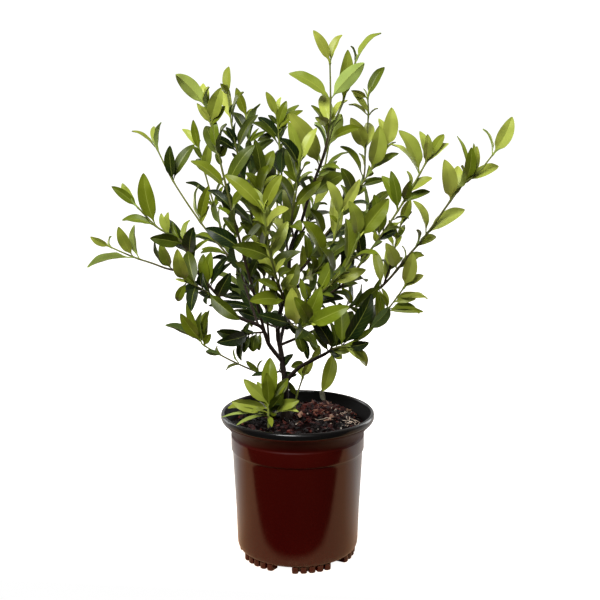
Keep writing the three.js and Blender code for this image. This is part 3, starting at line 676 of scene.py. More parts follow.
# Upper and lower skin of a leaf, with a fold along the midrib and a wavy edge
def addLeaf(part, leaf, age, tint, slots, along=None, widthRatio=None, curl=1.0):
    axes = bladeAxes(leaf)
    length = axes["length"]
    folding = tint * 7.3 % 1  # each leaf folds and widens by its own share
    fold = leafForm["fold"][0] + (leafForm["fold"][1] - leafForm["fold"][0]) * folding
    narrow, wide = leafForm["widthSpread"]
    widening = narrow + (wide - narrow) * (tint * 3.7 % 1)
    halfWidth = 0.5 * (widthRatio or leafPlan["widthRatio"]) * length * widening
    rows = along or leafForm["along"]
    columns = leafForm["columns"]
    offset = leaf.get("offset", Vector())
    phase = tint * 40
    upperRows, lowerRows = [], []
    for i in range(rows):
        t = 1 - (1 - i / rows) ** leafForm["tipRows"]  # rows closer together towards the tip
        middle, side, face = bladeStation(axes, t)
        middle = middle + offset * max(0, 1 - t / 0.3)
        width = bladeWidth(t, halfWidth)
        bladeShare = smoothStep(leafPlan["stalkEnd"], leafForm["bladeFull"], t)
        droop = leafForm["tipDroop"] * length * smoothStep(leafForm["droopStart"], 1, t) * curl
        middle = middle - face * droop
        thick = leafForm["thickness"] * bladeShare + leafForm["stalkThickness"] * (1 - bladeShare)
        upperRow, lowerRow = [], []
        for j in range(columns):
            s = -1 + 2 * j / (columns - 1)
            edge = abs(s)
            ribShare = math.exp(-((s / leafForm["ribReach"]) ** 2))
            shift = leafForm["waveShift"] if s > 0 else 0
            ripple = math.sin(t * leafForm["waves"] + phase + shift) * edge * edge
            lift = leafPlan["top"] * bladeShare
            bend = fold * edge ** leafForm["foldPower"] + leafForm["wave"] * ripple
            lift += width * bladeShare * curl * bend
            lift -= leafForm["ribDip"] * ribShare * bladeShare
            top = middle + side * (s * width) + face * lift
            upperRow.append(addPoint(part, top, (t, s, tint), age, tint))
            if 0 < j < columns - 1:
                depth = thick * (1 - edge ** 3) + leafForm["ribBulge"] * ribShare
                lowerRow.append(addPoint(part, top - face * depth, (t, s, tint), age, tint))
        upperRows.append(upperRow)
        lowerRows.append([upperRow[0], *lowerRow, upperRow[-1]])
    tipPoint = axes["tip"] + face * leafPlan["top"] - face * (leafForm["tipDroop"] * length * curl)
    tip = addPoint(part, tipPoint, (1, 0, tint), age, tint)
    for i in range(rows - 1):
        for j in range(columns - 1):
            a, b = upperRows[i][j], upperRows[i][j + 1]
            c, d = upperRows[i + 1][j + 1], upperRows[i + 1][j]
            addFace(part, (a, b, c, d), slots[0])
            a, b = lowerRows[i][j], lowerRows[i][j + 1]
            c, d = lowerRows[i + 1][j + 1], lowerRows[i + 1][j]
            addFace(part, (a, d, c, b), slots[1])
    for j in range(columns - 1):
        addFace(part, (upperRows[-1][j], upperRows[-1][j + 1], tip), slots[0])
        addFace(part, (lowerRows[-1][j + 1], lowerRows[-1][j], tip), slots[1])
    addFace(part, tuple(upperRows[0][::-1] + lowerRows[0][1:-1]), slots[1])


# A round rod along a route, for twigs, limbs and roots
def addRod(part, route, radiusAt, ageAt, sides, step, slot, tint, rough=0.0):
    steps = max(3, int(routeLength(route) / step))
    across = Vector((1, 0, 0))
    rings = []
    for i in range(steps + 1):
        fraction = i / steps
        centre = pointOn(route, fraction)
        forward = directionOn(route, fraction)
        across = (across - forward * across.dot(forward)).normalized()
        over = forward.cross(across)
        ring = []
        for j in range(sides):
            angle = j / sides * 2 * math.pi
            out = across * math.cos(angle) + over * math.sin(angle)
            radius = radiusAt(fraction)
            if rough:
                radius += rough * noise.noise((centre + out * radius * 2) * 0.11)
                radius += 0.4 * rough * noise.noise((centre + out * radius * 2) * 0.45)
            place = (fraction, j / sides, tint)
            ring.append(addPoint(part, centre + out * radius, place, ageAt(fraction), tint))
        rings.append(ring)
    joinRings(part, rings, slot)
    addFace(part, tuple(rings[0][::-1]), slot)
    addFace(part, tuple(rings[-1]), slot)


# One mesh object on the root body, which replaces the node of the same thing
def makePiece(name, part, materials, replaced, sharpAngle=45):
    mesh = bpy.data.meshes.new(name)
    mesh.from_pydata([tuple(p) for p in part["points"]], [], part["faces"])
    mesh.polygons.foreach_set("material_index", part["slots"])
    place = mesh.attributes.new("place", "FLOAT_VECTOR", "POINT")
    place.data.foreach_set("vector", [value for row in part["place"] for value in row])
    for key in ("age", "tint"):
        mesh.attributes.new(key, "FLOAT", "POINT").data.foreach_set("value", part[key])
    for material in materials:
        mesh.materials.append(material)
    mesh.polygons.foreach_set("use_smooth", [True] * len(mesh.polygons))
    mesh.set_sharp_from_angle(angle=math.radians(sharpAngle))
    mesh.update()
    piece = addObject(name, mesh)
    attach(piece, "root")
    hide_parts(*replaced)
    return piece


# Shader helpers
def newMaterial(name):
    material = bpy.data.materials.new(name)
    material.use_nodes = True
    return material, material.node_tree


def join(tree, source, target):
    if isinstance(source, bpy.types.NodeSocket):
        tree.links.new(source, target)
    else:
        target.default_value = source


def calc(tree, operation, first, second=None, third=None, clamp=False):
    node = tree.nodes.new("ShaderNodeMath")
    node.operation = operation
    node.use_clamp = clamp
    join(tree, first, node.inputs[0])
    if second is not None:
        join(tree, second, node.inputs[1])
    if third is not None:
        join(tree, third, node.inputs[2])
    return node.outputs[0]


def plus(tree, first, second, clamp=False):
    return calc(tree, "ADD", first, second, clamp=clamp)


def minus(tree, first, second):
    return calc(tree, "SUBTRACT", first, second)


def times(tree, first, second):
    return calc(tree, "MULTIPLY", first, second)


# A value that goes up and down with a mask, by the given share of it
def varied(tree, value, mask, share):
    return plus(tree, times(tree, minus(tree, mask, 0.5), share), value)


def ease(tree, value, low, high):
    node = tree.nodes.new("ShaderNodeMapRange")
    node.interpolation_type = "SMOOTHSTEP"
    join(tree, value, node.inputs["Value"])
    join(tree, low, node.inputs["From Min"])
    join(tree, high, node.inputs["From Max"])
    return node.outputs["Result"]


def mixColour(tree, factor, first, second):
    node = tree.nodes.new("ShaderNodeMix")
    node.data_type = "RGBA"
    join(tree, factor, node.inputs[0])
    join(tree, first, node.inputs[6])
    join(tree, second, node.inputs[7])
    return node.outputs[2]


def ramp(tree, factor, stops):
    node = tree.nodes.new("ShaderNodeValToRGB")
    elements = node.color_ramp.elements
    while len(elements) < len(stops):
        elements.new(0.5)
    for element, (position, colour) in zip(elements, stops):
        element.position = position
        element.color = (*colour, 1)
    join(tree, factor, node.inputs[0])
    return node.outputs[0]


def attribute(tree, name, output):
    node = tree.nodes.new("ShaderNodeAttribute")
    node.attribute_name = name
    return node.outputs[output]


def parts(tree, vector):
    node = tree.nodes.new("ShaderNodeSeparateXYZ")
    join(tree, vector, node.inputs[0])
    return node.outputs


def bump(tree, height, strength, distance):
    node = tree.nodes.new("ShaderNodeBump")
    node.inputs["Strength"].default_value = strength
    node.inputs["Distance"].default_value = distance
    join(tree, height, node.inputs["Height"])
    return node.outputs["Normal"]


def newGroup(name, inputs, outputs):
    group = bpy.data.node_groups.new(name, "ShaderNodeTree")
    for label, kind, value in inputs:
        socket = group.interface.new_socket(name=label, in_out="INPUT", socket_type=kind)
        if value is not None:
            socket.default_value = value
    for label, kind in outputs:
        group.interface.new_socket(name=label, in_out="OUTPUT", socket_type=kind)
    return group, group.nodes.new("NodeGroupInput").outputs, group.nodes.new("NodeGroupOutput").inputs


def placeGroup(tree, group, **values):
    node = tree.nodes.new("ShaderNodeGroup")
    node.node_tree = group
    for label, value in values.items():
        join(tree, value, node.inputs[label])
    return node.outputs


# Joins the values worked out for a surface to its shader
def finished(material, colour, roughness, normal, shine=0.5):
    tree = material.node_tree
    inputs = tree.nodes["Principled BSDF"].inputs
    join(tree, colour, inputs["Base Color"])
    join(tree, roughness, inputs["Roughness"])
    join(tree, normal, inputs["Normal"])
    inputs["Specular IOR Level"].default_value = shine
    return material


# Mottling in the object's own space: soft patches and a fine grain
def makeMottle():
    group, given, wanted = newGroup(
        "mottle",
        [("Scale", "NodeSocketFloat", 40.0), ("Stretch", "NodeSocketFloat", 1.0)],
        [("Patches", "NodeSocketFloat"), ("Grain", "NodeSocketFloat")],
    )
    coordinates = group.nodes.new("ShaderNodeTexCoord").outputs["Object"]
    stretch = group.nodes.new("ShaderNodeCombineXYZ")
    stretch.inputs[0].default_value = 1
    stretch.inputs[1].default_value = 1
    join(group, given["Stretch"], stretch.inputs[2])
    scaled = group.nodes.new("ShaderNodeVectorMath")
    scaled.operation = "MULTIPLY"
    join(group, coordinates, scaled.inputs[0])
    join(group, stretch.outputs[0], scaled.inputs[1])
    for label, factor, detail in (("Patches", 1, 3), ("Grain", 9, 4)):
        texture = group.nodes.new("ShaderNodeTexNoise")
        texture.inputs["Detail"].default_value = detail
        join(group, scaled.outputs[0], texture.inputs["Vector"])
        join(group, times(group, given["Scale"], factor), texture.inputs["Scale"])
        join(group, texture.outputs["Fac"], wanted[label])
    return group


# Veins of a leaf from its place attribute: x runs from stalk to tip, y from edge to edge
def makeVeins():
    group, given, wanted = newGroup(
        "leafVeins",
        [
            ("Place", "NodeSocketVector", None), ("Count", "NodeSocketFloat", 11.0),
            ("Slant", "NodeSocketFloat", 0.2), ("Width", "NodeSocketFloat", 0.1),
        ],
        [("Midrib", "NodeSocketFloat"), ("Side Veins", "NodeSocketFloat"), ("Height", "NodeSocketFloat")],
    )
    along, across, _ = parts(group, given["Place"])
    edge = calc(group, "ABSOLUTE", across)
    ribWidth = plus(group, times(group, minus(group, 1.0, along), 0.07), 0.035)
    midrib = minus(group, 1.0, ease(group, edge, times(group, ribWidth, 0.3), ribWidth))
    slanted = times(group, calc(group, "POWER", edge, 1.25), given["Slant"])
    wave = times(group, minus(group, along, slanted), given["Count"])
    ripple = calc(group, "ABSOLUTE", minus(group, calc(group, "FRACT", wave), 0.5))
    fade = minus(group, 1.0, ease(group, edge, 0.7, 0.98))
    thin = minus(group, 1.0, ease(group, ripple, times(group, given["Width"], 0.25), given["Width"]))
    veins = times(group, thin, fade)
    pillow = times(group, ease(group, ripple, 0.0, 0.42), fade)
    height = minus(group, times(group, pillow, 0.25), times(group, midrib, 0.5))
    join(group, midrib, wanted["Midrib"])
    join(group, veins, wanted["Side Veins"])
    join(group, height, wanted["Height"])
    return group


mottle = makeMottle()
leafVeins = makeVeins()

leafFinish = {
    "upper": {
        "tones": [(0, (0.38, 0.44, 0.075)), (0.45, (0.118, 0.16, 0.007)), (1, (0.006, 0.015, 0.002))],
        "rib": 0.42, "veins": 0.07, "roughness": 0.42, "shine": 0.22, "relief": 0.16, "depth": 0.0004,
    },
    "under": {
        "tones": [(0, (0.27, 0.36, 0.08)), (1, (0.035, 0.065, 0.016))],
        "rib": 0.35, "veins": 0.12, "roughness": 0.6, "shine": 0.12, "relief": 0.1, "depth": -0.0004,
    },
    "mottle": 38.0,
    "ribColour": (0.34, 0.38, 0.07, 1),
    "warmColour": (0.2, 0.16, 0.006, 1),
    "warm": 0.3,
    "patches": 0.3,
    "unevenGloss": 0.2,
}


# Colour from young to old along the age attribute; the veins and midrib are paler. On leaves the age
# attribute also carries painted shade deep in the crown and painted light and shade on single leaves and
# parts of the crown
def leafSurface(name, side):
    finish = leafFinish[side]
    material, tree = newMaterial(name)
    age = attribute(tree, "age", "Fac")
    tint = attribute(tree, "tint", "Fac")
    spots = placeGroup(tree, mottle, Scale=leafFinish["mottle"])
    veins = placeGroup(tree, leafVeins, Place=attribute(tree, "place", "Vector"))
    colour = ramp(tree, varied(tree, age, spots["Patches"], leafFinish["patches"]), finish["tones"])
    warmShare = times(tree, minus(tree, 1, age), times(tree, tint, leafFinish["warm"]))
    warm = mixColour(tree, warmShare, colour, leafFinish["warmColour"])
    ribbed = mixColour(tree, times(tree, veins["Midrib"], finish["rib"]), warm, leafFinish["ribColour"])
    veinShare = times(tree, veins["Side Veins"], finish["veins"])
    veined = mixColour(tree, veinShare, ribbed, leafFinish["ribColour"])
    gloss = varied(tree, finish["roughness"], spots["Patches"], leafFinish["unevenGloss"])
    normal = bump(tree, veins["Height"], finish["relief"], finish["depth"])
    return finished(material, veined, gloss, normal, finish["shine"])


woodFinish = {
    "green": (0.16, 0.19, 0.035),
    "brown": (0.036, 0.022, 0.013),
    "dark": (0.01, 0.006, 0.005),
    "scurf": (0.16, 0.125, 0.095, 1),
    "scurfShare": 0.35,
    "mottle": 160.0,
    "stretch": 0.3,
    "patches": 0.3,
    "roughness": 0.45,
    "shine": 0.18,
}


# Green twigs that turn brown and then dark with age, with pale scurf on the old bark
def woodSurface(name):
    material, tree = newMaterial(name)
    age = attribute(tree, "age", "Fac")
    bark = placeGroup(tree, mottle, Scale=woodFinish["mottle"], Stretch=woodFinish["stretch"])
    tones = [(0, woodFinish["green"]), (0.5, woodFinish["brown"]), (1, woodFinish["dark"])]
    colour = ramp(tree, varied(tree, age, bark["Patches"], woodFinish["patches"]), tones)
    scurf = times(tree, ease(tree, bark["Grain"], 0.58, 0.7), times(tree, age, woodFinish["scurfShare"]))
    scurfy = mixColour(tree, scurf, colour, woodFinish["scurf"])
    rough = plus(tree, times(tree, bark["Grain"], 0.3), woodFinish["roughness"])
    ridges = plus(tree, bark["Patches"], times(tree, bark["Grain"], 0.6))
    return finished(material, scurfy, rough, bump(tree, ridges, 0.6, 0.0012), woodFinish["shine"])


leafUpper = leafSurface("leafUpper", "upper")
leafUnder = leafSurface("leafUnder", "under")
twigBark = woodSurface("twigBark")
print("leaf and bark materials made")

# Leafy stems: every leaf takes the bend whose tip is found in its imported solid
random.seed(7)
stemForm = {
    "sides": 9,
    "step": 5,
    "nodeSwell": 0.45,
    "nodeLength": 3.2,
    "woody": 0.75,
    "shootWoody": 0.35,
    "budLength": 15,
    "budRatio": 0.26,
    "sideLeaf": (20, 42),
    "sidePitch": 17,
    "sideRoom": 6.5,
    "sideStart": 0.12,
    "sideShare": 0.86,
    "sideSpread": (30, 58),
    "sideReach": (105, 225),
    "sideCentre": (*leafPlan["centre"], 430),
}


# The first bend of a leaf whose tip is found in the solid, or none
def chosenLeaf(leaf, tree):
    for bend in bendPlan:
        bent = bentLeaf(leaf, bend)
        tip = (bent["root"] + bent["reach"]) * mm
        if tree.find(tip)[2] < 0.00008:
            return bent
    return None


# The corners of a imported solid, to be searched by place
def nodeTree(name):
    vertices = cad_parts[name].data.vertices
    tree = kdtree.KDTree(len(vertices))
    for index, vertex in enumerate(vertices):
        tree.insert(vertex.co, index)
    tree.balance()
    return tree


# A twig tapers to its tip and swells at each pair of leaves
def twigRadius(axis):
    length = routeLength(routes[axis["name"]])
    spots = [node[0] for node in axis["nodes"]]
    reach = stemForm["nodeLength"]

    def radiusAt(fraction):
        radius = axis["girth"] + (leafPlan["twigTip"] * 0.85 - axis["girth"]) * fraction
        swell = sum(math.exp(-(((fraction - spot) * length / reach) ** 2)) for spot in spots)
        return radius + stemForm["nodeSwell"] * min(swell, 1)

    return radiusAt


# Single leaves given a younger or older age than the rule says, partly for their own tone and partly as
# painted light and shade on leaves that the lamps leave too dark or too bright: x and z of the blade's
# middle, age
toneAndPaintedLightTable = [
    (14, 586, 0.02), (19, 661, 0.6), (105, 665, 0.55), (146, 575, 0.4), (-23, 467, 0.08), (134, 423, 0.15),
    (156, 405, 0.1), (105, 490, 0.5), (-99, 630, 0.05), (115, 597, 0.4), (-59, 519, 0.1),
]

# Parts of the crown made older or younger than the rest, partly for the leaves' own tone and partly as
# painted shade where older and painted light where younger: x, z, how far it reaches, change of age
paintedLightAndAgeZones = [
    (-90, 590, 70, 0.42), (-190, 570, 45, 0.4), (-19, 590, 40, 0.2), (39, 643, 35, -0.5),
    (110, 600, 55, -0.42), (39, 518, 35, -0.65), (-19, 480, 50, -0.65), (-194, 394, 40, -0.9),
    (-19, 394, 40, -0.9), (100, 394, 60, -0.45), (-110, 345, 60, 0.3), (156, 332, 40, 0.25),
    (-19, 270, 35, 0.6), (220, 575, 40, 0.15), (160, 394, 40, -0.2), (-140, 480, 40, -0.3),
    (90, 720, 45, 0.5), (20, 720, 30, 0.1), (-136, 650, 35, -0.45), (-78, 270, 40, -0.4),
    (-194, 518, 40, 0.35), (110, 518, 45, 0.35), (22, 362, 42, 0.5), (-194, 456, 30, 0.35),
    (204, 477, 30, -0.6), (45, 268, 32, -0.7), (-19, 645, 30, -0.1), (39, 394, 35, -0.4),
    (98, 332, 35, 0.35), (-136, 394, 30, 0.4), (98, 280, 35, -0.6),
]

# inside: how much older, and so darker, leaves are made near the plant's middle; partly their own age and
# partly painted shade
ageRule = {
    "tip": 0.04,
    "foot": 0.42,
    "inside": 0.78,
    "spread": 0.22,
    "innerReach": (60, 270),
    "middleHeight": 390,
    "shootInside": 0.25,
    "shootOlder": 0.06,
    "tableRoom": 7,
    "tableLength": 45,
}


# Young at the twig's tip, old towards its foot, low down and near the plant's middle; the darkening near
# the middle is partly the leaves' own age and partly painted shade deep in the crown
def ruledAgeAndPaintedShade(leaf, low):
    root = leaf["root"]
    height = root.z - ageRule["middleHeight"]
    outwards = Vector((root.x - leafPlan["centre"][0], root.y * 0.8, height * 0.9))
    inner = ageRule["shootInside"] if low else 1 - smoothStep(*ageRule["innerReach"], outwards.length)
    age = ageRule["tip"] + ageRule["foot"] * (1 - leaf["fraction"]) + ageRule["inside"] * inner
    return age + random.gauss(0, ageRule["spread"]) + (ageRule["shootOlder"] if low else 0)


# Given in the tables or by the rule, then shifted with the part of the crown that the leaf is in; the
# tables and this shift are partly age and partly painted light and shade
def leafAgeAndPaintedLight(leaf, low):
    middle = leaf["root"] + leaf["reach"] * 0.5
    shift = 0
    for x, z, reach, change in paintedLightAndAgeZones:
        shift += change * math.exp(-((middle.x - x) ** 2 + (middle.z - z) ** 2) / reach ** 2)
    near = ageRule["tableRoom"]
    tones = [tone for x, z, tone in toneAndPaintedLightTable if abs(middle.x - x) < near and abs(middle.z - z) < near]
    if "tone" in leaf:
        age = leaf["tone"]
    elif tones and leaf["reach"].length > ageRule["tableLength"]:
        age = tones[0]
    else:
        age = ruledAgeAndPaintedShade(leaf, low)
    return min(1, max(0, age + shift))


# Two narrow leaves, still closed, at the twig's tip
def addBud(part, route, slots):
    tip = pointOn(route, 1)
    direction = directionOn(route, 1)
    side = squaredTo(direction, Vector((random.uniform(-1, 1), random.uniform(-1, 1), 0.1)))
    for sign in (-1, 1):
        length = stemForm["budLength"] * random.uniform(0.75, 1.3)
        leaf = {
            "root": tip - direction * 1.5 + side * (sign * 0.4),
            "reach": (direction + side * (sign * 0.3)) * length,
            "stem": direction, "light": Vector((0, -1, 0.2)), "share": 0.3, "twist": 0,
        }
        tint = random.random() * 0.5
        addLeaf(part, leaf, 0.0, tint, slots, along=9, widthRatio=stemForm["budRatio"], curl=0.6)


# Places in the picture turned to places in the scene, and back
picturePlan = {
    "width": 600,
    "middle": 300,
    "twigSteps": 60,
    "twigStart": 0.06,
    "twigShare": 0.92,
    "depthWeight": 0.012,
    "tipForward": 3,
    "fuller": 1.15,
}
pitchDown = math.radians(cameraPlan["pitchDown"])
eye = Vector(cameraPlan["place"]) * 1000
forward = Vector((0, math.cos(pitchDown), -math.sin(pitchDown)))
upward = Vector((0, math.sin(pitchDown), math.cos(pitchDown)))
focal = cameraPlan["lens"] / cameraPlan["sensor"] * picturePlan["width"]


def pixelOf(point):
    offset = point - eye
    depth = offset.dot(forward)
    down = picturePlan["middle"] - focal * offset.dot(upward) / depth
    return Vector((picturePlan["middle"] + focal * offset.x / depth, down))


def placeOf(pixel, y):
    across = (pixel.x - picturePlan["middle"]) / focal
    ray = forward + Vector((across, 0, 0)) + upward * ((picturePlan["middle"] - pixel.y) / focal)
    return eye + ray * ((y - eye.y) / ray.y)


# Places in the picture that no small leaf covers: across, down, how far round
clearPlaces = [
    (312, 160, 11), (345, 167, 15), (382, 196, 15), (365, 282, 15), (396, 286, 11), (341, 228, 9),
    (215, 172, 9), (191, 195, 16), (229, 171, 8), (236, 256, 8), (205, 215, 9), (214, 232, 7),
]


def keepsClear(leaf):
    middle = pixelOf(leaf["root"] + leaf["reach"] * 0.5)
    return all((middle - Vector((across, down))).length > around for across, down, around in clearPlaces)


# Small leaves between the main ones, where they have room
def sideLeaves(axis, route):
    length = routeLength(route)
    spots = [node[0] for node in axis["nodes"]]
    found = []
    turn = random.uniform(0, 2 * math.pi)
    count = int(length / stemForm["sidePitch"])
    for i in range(count):
        fraction = stemForm["sideStart"] + stemForm["sideShare"] * (i + random.uniform(0.2, 0.8)) / count
        turn += math.pi / 2 + random.uniform(-0.4, 0.4)
        if min((abs(fraction - spot) for spot in spots), default=1) * length < 4:
            continue
        root = pointOn(route, fraction)
        away = (root - Vector(stemForm["sideCentre"])).length
        if random.random() < 0.1 + smoothStep(*stemForm["sideReach"], away):
            continue
        stem = directionOn(route, fraction)
        side = squaredTo(stem, Vector((0, 1, 0.3)))
        deep = stem.cross(side)
        spread = math.radians(random.uniform(*stemForm["sideSpread"]))
        size = random.uniform(*stemForm["sideLeaf"]) * (0.75 + 0.25 * math.sin(math.pi * fraction))
        light = lightAt(root)
        for opposite in (0, math.pi):
            outward = side * math.cos(turn + opposite) + deep * math.sin(turn + opposite)
            reach = stem * math.cos(spread) + outward * math.sin(spread) + Vector((0, 0, 0.12))
            found.append({
                "root": root + outward * 0.8,
                "reach": reach.normalized() * size * random.uniform(0.8, 1.1),
                "stem": stem,
                "light": light,
                "share": random.uniform(0.2, 0.8),
                "twist": random.uniform(-0.5, 0.5),
                "fraction": fraction,
                "tint": random.random(),
            })
    return [leaf for leaf in found if keepsClear(leaf)]


# A leaf placed at a given root and reach
def placedLeaf(root, reach, light, twist, **more):
    return {
        "root": Vector(root), "reach": Vector(reach), "stem": Vector((0, 0, 1)), "light": Vector(light),
        "share": 0.8, "twist": twist, **more,
    }


# Four places along a blade, to tell how much room it has
def spotsOf(leaf):
    axes = bladeAxes(leaf)
    return [bladeStation(axes, t)[0] for t in (0.3, 0.5, 0.7, 0.95)]


leavesByStem = {}
taken = []
draw = seededDraws(leafPlan["seed"])
for nodeName, axes in allStems.items():
    tree = nodeTree(nodeName)
    drawn = [leaf for axis in axes for leaf in leavesOf(axis, routes[axis["name"]], draw)]
    chosen = [leaf for leaf in (chosenLeaf(leaf, tree) for leaf in drawn) if leaf]
    leavesByStem[nodeName] = [(leaf, random.random(), None) for leaf in chosen]
    taken += [spot for leaf in chosen for spot in spotsOf(leaf)]
print("main leaves found:", sum(len(leaves) for leaves in leavesByStem.values()))

room = kdtree.KDTree(len(taken))
for index, spot in enumerate(taken):
    room.insert(spot, index)
room.balance()
sideSpots = []
for nodeName, axes in allStems.items():
    for axis in axes:
        for leaf in sideLeaves(axis, routes[axis["name"]]):
            spots = spotsOf(leaf)
            close = min(room.find(spot)[2] for spot in spots)
            near = min(((a - b).length for a in spots for b in sideSpots), default=99)
            if min(close, near) > stemForm["sideRoom"]:
                sideSpots += spots
                leavesByStem[nodeName].append((leaf, leaf["tint"], 13))

# Single leaves that stand apart in the picture, in its pixels: foot across and down, tip across and down,
# width, then age; the age follows how dark the leaf looks, so it holds painted shade and painted light as
# well as its own tone, and some dark leaves fill places that show only shade
pictureLeaves = [
    (212, 284, 203, 254, 14, 0.35), (217, 288, 228, 256, 9, 0.9), (224, 256, 201, 249, 7, 0.4),
    (240, 300, 224, 283, 8, 1), (248, 312, 224, 303, 7, 0.95), (257, 334, 253, 352, 15, 0.75),
    (284, 340, 293, 325, 9, 0.9), (296, 344, 307, 359, 9, 0.3), (292, 352, 291, 367, 9, 0.5),
    (221, 150, 215, 119, 13, 0.1), (233, 146, 226, 127, 9, 0.85), (237, 145, 235, 122, 4, 1),
    (256, 143, 253, 124, 4, 0.5), (276, 140, 258, 117, 13, 0.85), (258, 143, 266, 131, 5, 0.1),
    (257, 143, 259, 128, 3, 0.1), (263, 157, 273, 139, 10, 0.4), (296, 156, 288, 121, 12, 0.1),
    (459, 165, 458, 135, 5, 0.2), (460, 165, 474, 143, 7, 0.3), (172, 226, 161, 213, 9, 0.1),
    (366, 114, 353, 93, 6, 0.05), (325, 210, 328, 190, 8, 0.5), (296, 262, 305, 231, 10, 1),
    (192, 330, 186, 303, 8, 0.3), (401, 303, 427, 297, 6, 0.2), (394, 318, 424, 312, 7, 0.3),
    (372, 310, 380, 290, 7, 0.4), (308, 360, 320, 346, 8, 0.4), (345, 356, 366, 362, 9, 0.3),
    (222, 275, 232, 262, 6, 0.9), (238, 330, 250, 322, 6, 0.8), (300, 330, 306, 312, 8, 0.8),
    (202, 262, 195, 232, 8, 0.95), (211, 284, 211, 252, 11, 0.35), (203, 252, 209, 239, 5, 0.6),
    (241, 302, 223, 296, 8, 1), (212, 302, 198, 292, 9, 0.9), (244, 320, 208, 305, 11, 0.8),
    (262, 322, 238, 311, 9, 0.95), (246, 326, 219, 330, 9, 0.9), (261, 333, 259, 351, 9, 0.7),
    (190, 319, 209, 310, 7, 0.5), (204, 346, 211, 334, 7, 0.5), (272, 314, 273, 302, 9, 0.5),
    (258, 296, 256, 270, 8, 1), (283, 342, 275, 325, 7, 1), (290, 338, 303, 353, 9, 0.7),
    (288, 372, 293, 354, 8, 0.6), (285, 345, 289, 326, 8, 1), (260, 371, 247, 361, 7, 0.5),
    (296, 268, 303, 245, 9, 0.9), (243, 236, 223, 217, 12, 1), (250, 240, 240, 222, 10, 0.95),
    (303, 258, 305, 234, 9, 1), (303, 300, 300, 278, 8, 0.95), (307, 282, 309, 268, 6, 0.9),
    (384, 250, 374, 232, 7, 0.4), (383, 284, 386, 250, 9, 0.35), (396, 250, 402, 236, 4, 0.4),
    (371, 292, 380, 279, 6, 1), (372, 318, 377, 290, 9, 0.6), (390, 312, 382, 288, 6, 0.4),
    (352, 306, 342, 288, 8, 0.6), (362, 318, 349, 306, 8, 0.7), (399, 307, 416, 299, 7, 0.35),
    (326, 348, 312, 330, 8, 0.6), (333, 336, 330, 320, 6, 0.7), (331, 352, 352, 350, 9, 0.4),
    (342, 348, 369, 344, 10, 0.35), (330, 350, 342, 359, 8, 0.4), (350, 341, 374, 327, 7, 0.6),
    (300, 344, 308, 360, 6, 0.9), (320, 352, 309, 341, 7, 0.9), (290, 360, 297, 375, 7, 0.7),
    (363, 266, 371, 252, 7, 0.5), (212, 104, 208, 88, 7, 0.15), (219, 124, 225, 106, 13, 0.2),
    (240, 116, 233, 104, 6, 1), (209, 122, 200, 106, 8, 0.25), (229, 144, 221, 129, 6, 0.4),
    (219, 160, 227, 146, 11, 0.4), (219, 168, 215, 154, 6, 0.5), (201, 160, 193, 146, 7, 0.4),
    (272, 134, 257, 141, 7, 0.4), (263, 156, 274, 140, 8, 0.5), (277, 126, 268, 115, 6, 0.6),
    (283, 142, 287, 126, 6, 0.95), (297, 128, 303, 110, 9, 0.3), (236, 196, 228, 183, 8, 0.9),
    (217, 208, 223, 186, 5, 0.6), (229, 218, 217, 207, 5, 0.6), (203, 221, 209, 206, 7, 0.5),
    (297, 226, 300, 204, 6, 0.9), (172, 228, 168, 212, 9, 0.2),
]

# Each of these leaves grows from the twig that passes nearest to its foot in the picture
twigSpots = []
for nodeName, axes in allStems.items():
    for axis in axes:
        for step in range(picturePlan["twigSteps"]):
            along = picturePlan["twigShare"] * step / (picturePlan["twigSteps"] - 1)
            fraction = picturePlan["twigStart"] + along
            point = pointOn(routes[axis["name"]], fraction)
            twigSpots.append((pixelOf(point), point, nodeName, axis["name"], fraction))
for footX, footY, tipX, tipY, width, tone in pictureLeaves:
    foot = Vector((footX, footY))
    spot = min(twigSpots, key=lambda twig: (twig[0] - foot).length + twig[1].y * picturePlan["depthWeight"])
    footPixel, root, nodeName, axisName, fraction = spot
    tipPixel = Vector((tipX, tipY))
    leaf = placedLeaf(
        root, placeOf(tipPixel, root.y - picturePlan["tipForward"]) - root, (0, -1, 0.2),
        random.uniform(-0.3, 0.3), fraction=fraction, tone=tone,
        ratio=picturePlan["fuller"] * width / (tipPixel - footPixel).length,
    )
    leaf["stem"] = directionOn(routes[axisName], fraction)
    leavesByStem[nodeName].append((leaf, random.random(), None))

# Low leaves of the basal shoot: root, reach, width by length; the two narrow ones lie over the lip
lowLeaves = [
    ((-43, -42, 216), (-62, -2, -3), 0.13), ((-42, -43, 215), (-40, -37, -2), 0.16),
    ((-38, -42, 213), (3, -17, -9), 0.42), ((-36, -38, 215), (38, -10, 8), 0.3),
    ((-38, -36, 218), (22, 8, 38), 0.34), ((-44, -38, 216), (-42, -8, 15), 0.36),
    ((-41, -42, 214), (-20, -26, 16), 0.38), ((-40, -36, 218), (-16, 14, 40), 0.36),
    ((-38, -42, 216), (14, -22, 22), 0.36),
]
for root, reach, ratio in lowLeaves:
    leaf = placedLeaf(root, reach, (0, -0.6, 1), random.uniform(-0.2, 0.2), fraction=0.7, ratio=ratio)
    leavesByStem["basal_shoot"].append((leaf, random.random(), None))
print("leaves in all:", sum(len(leaves) for leaves in leavesByStem.values()))

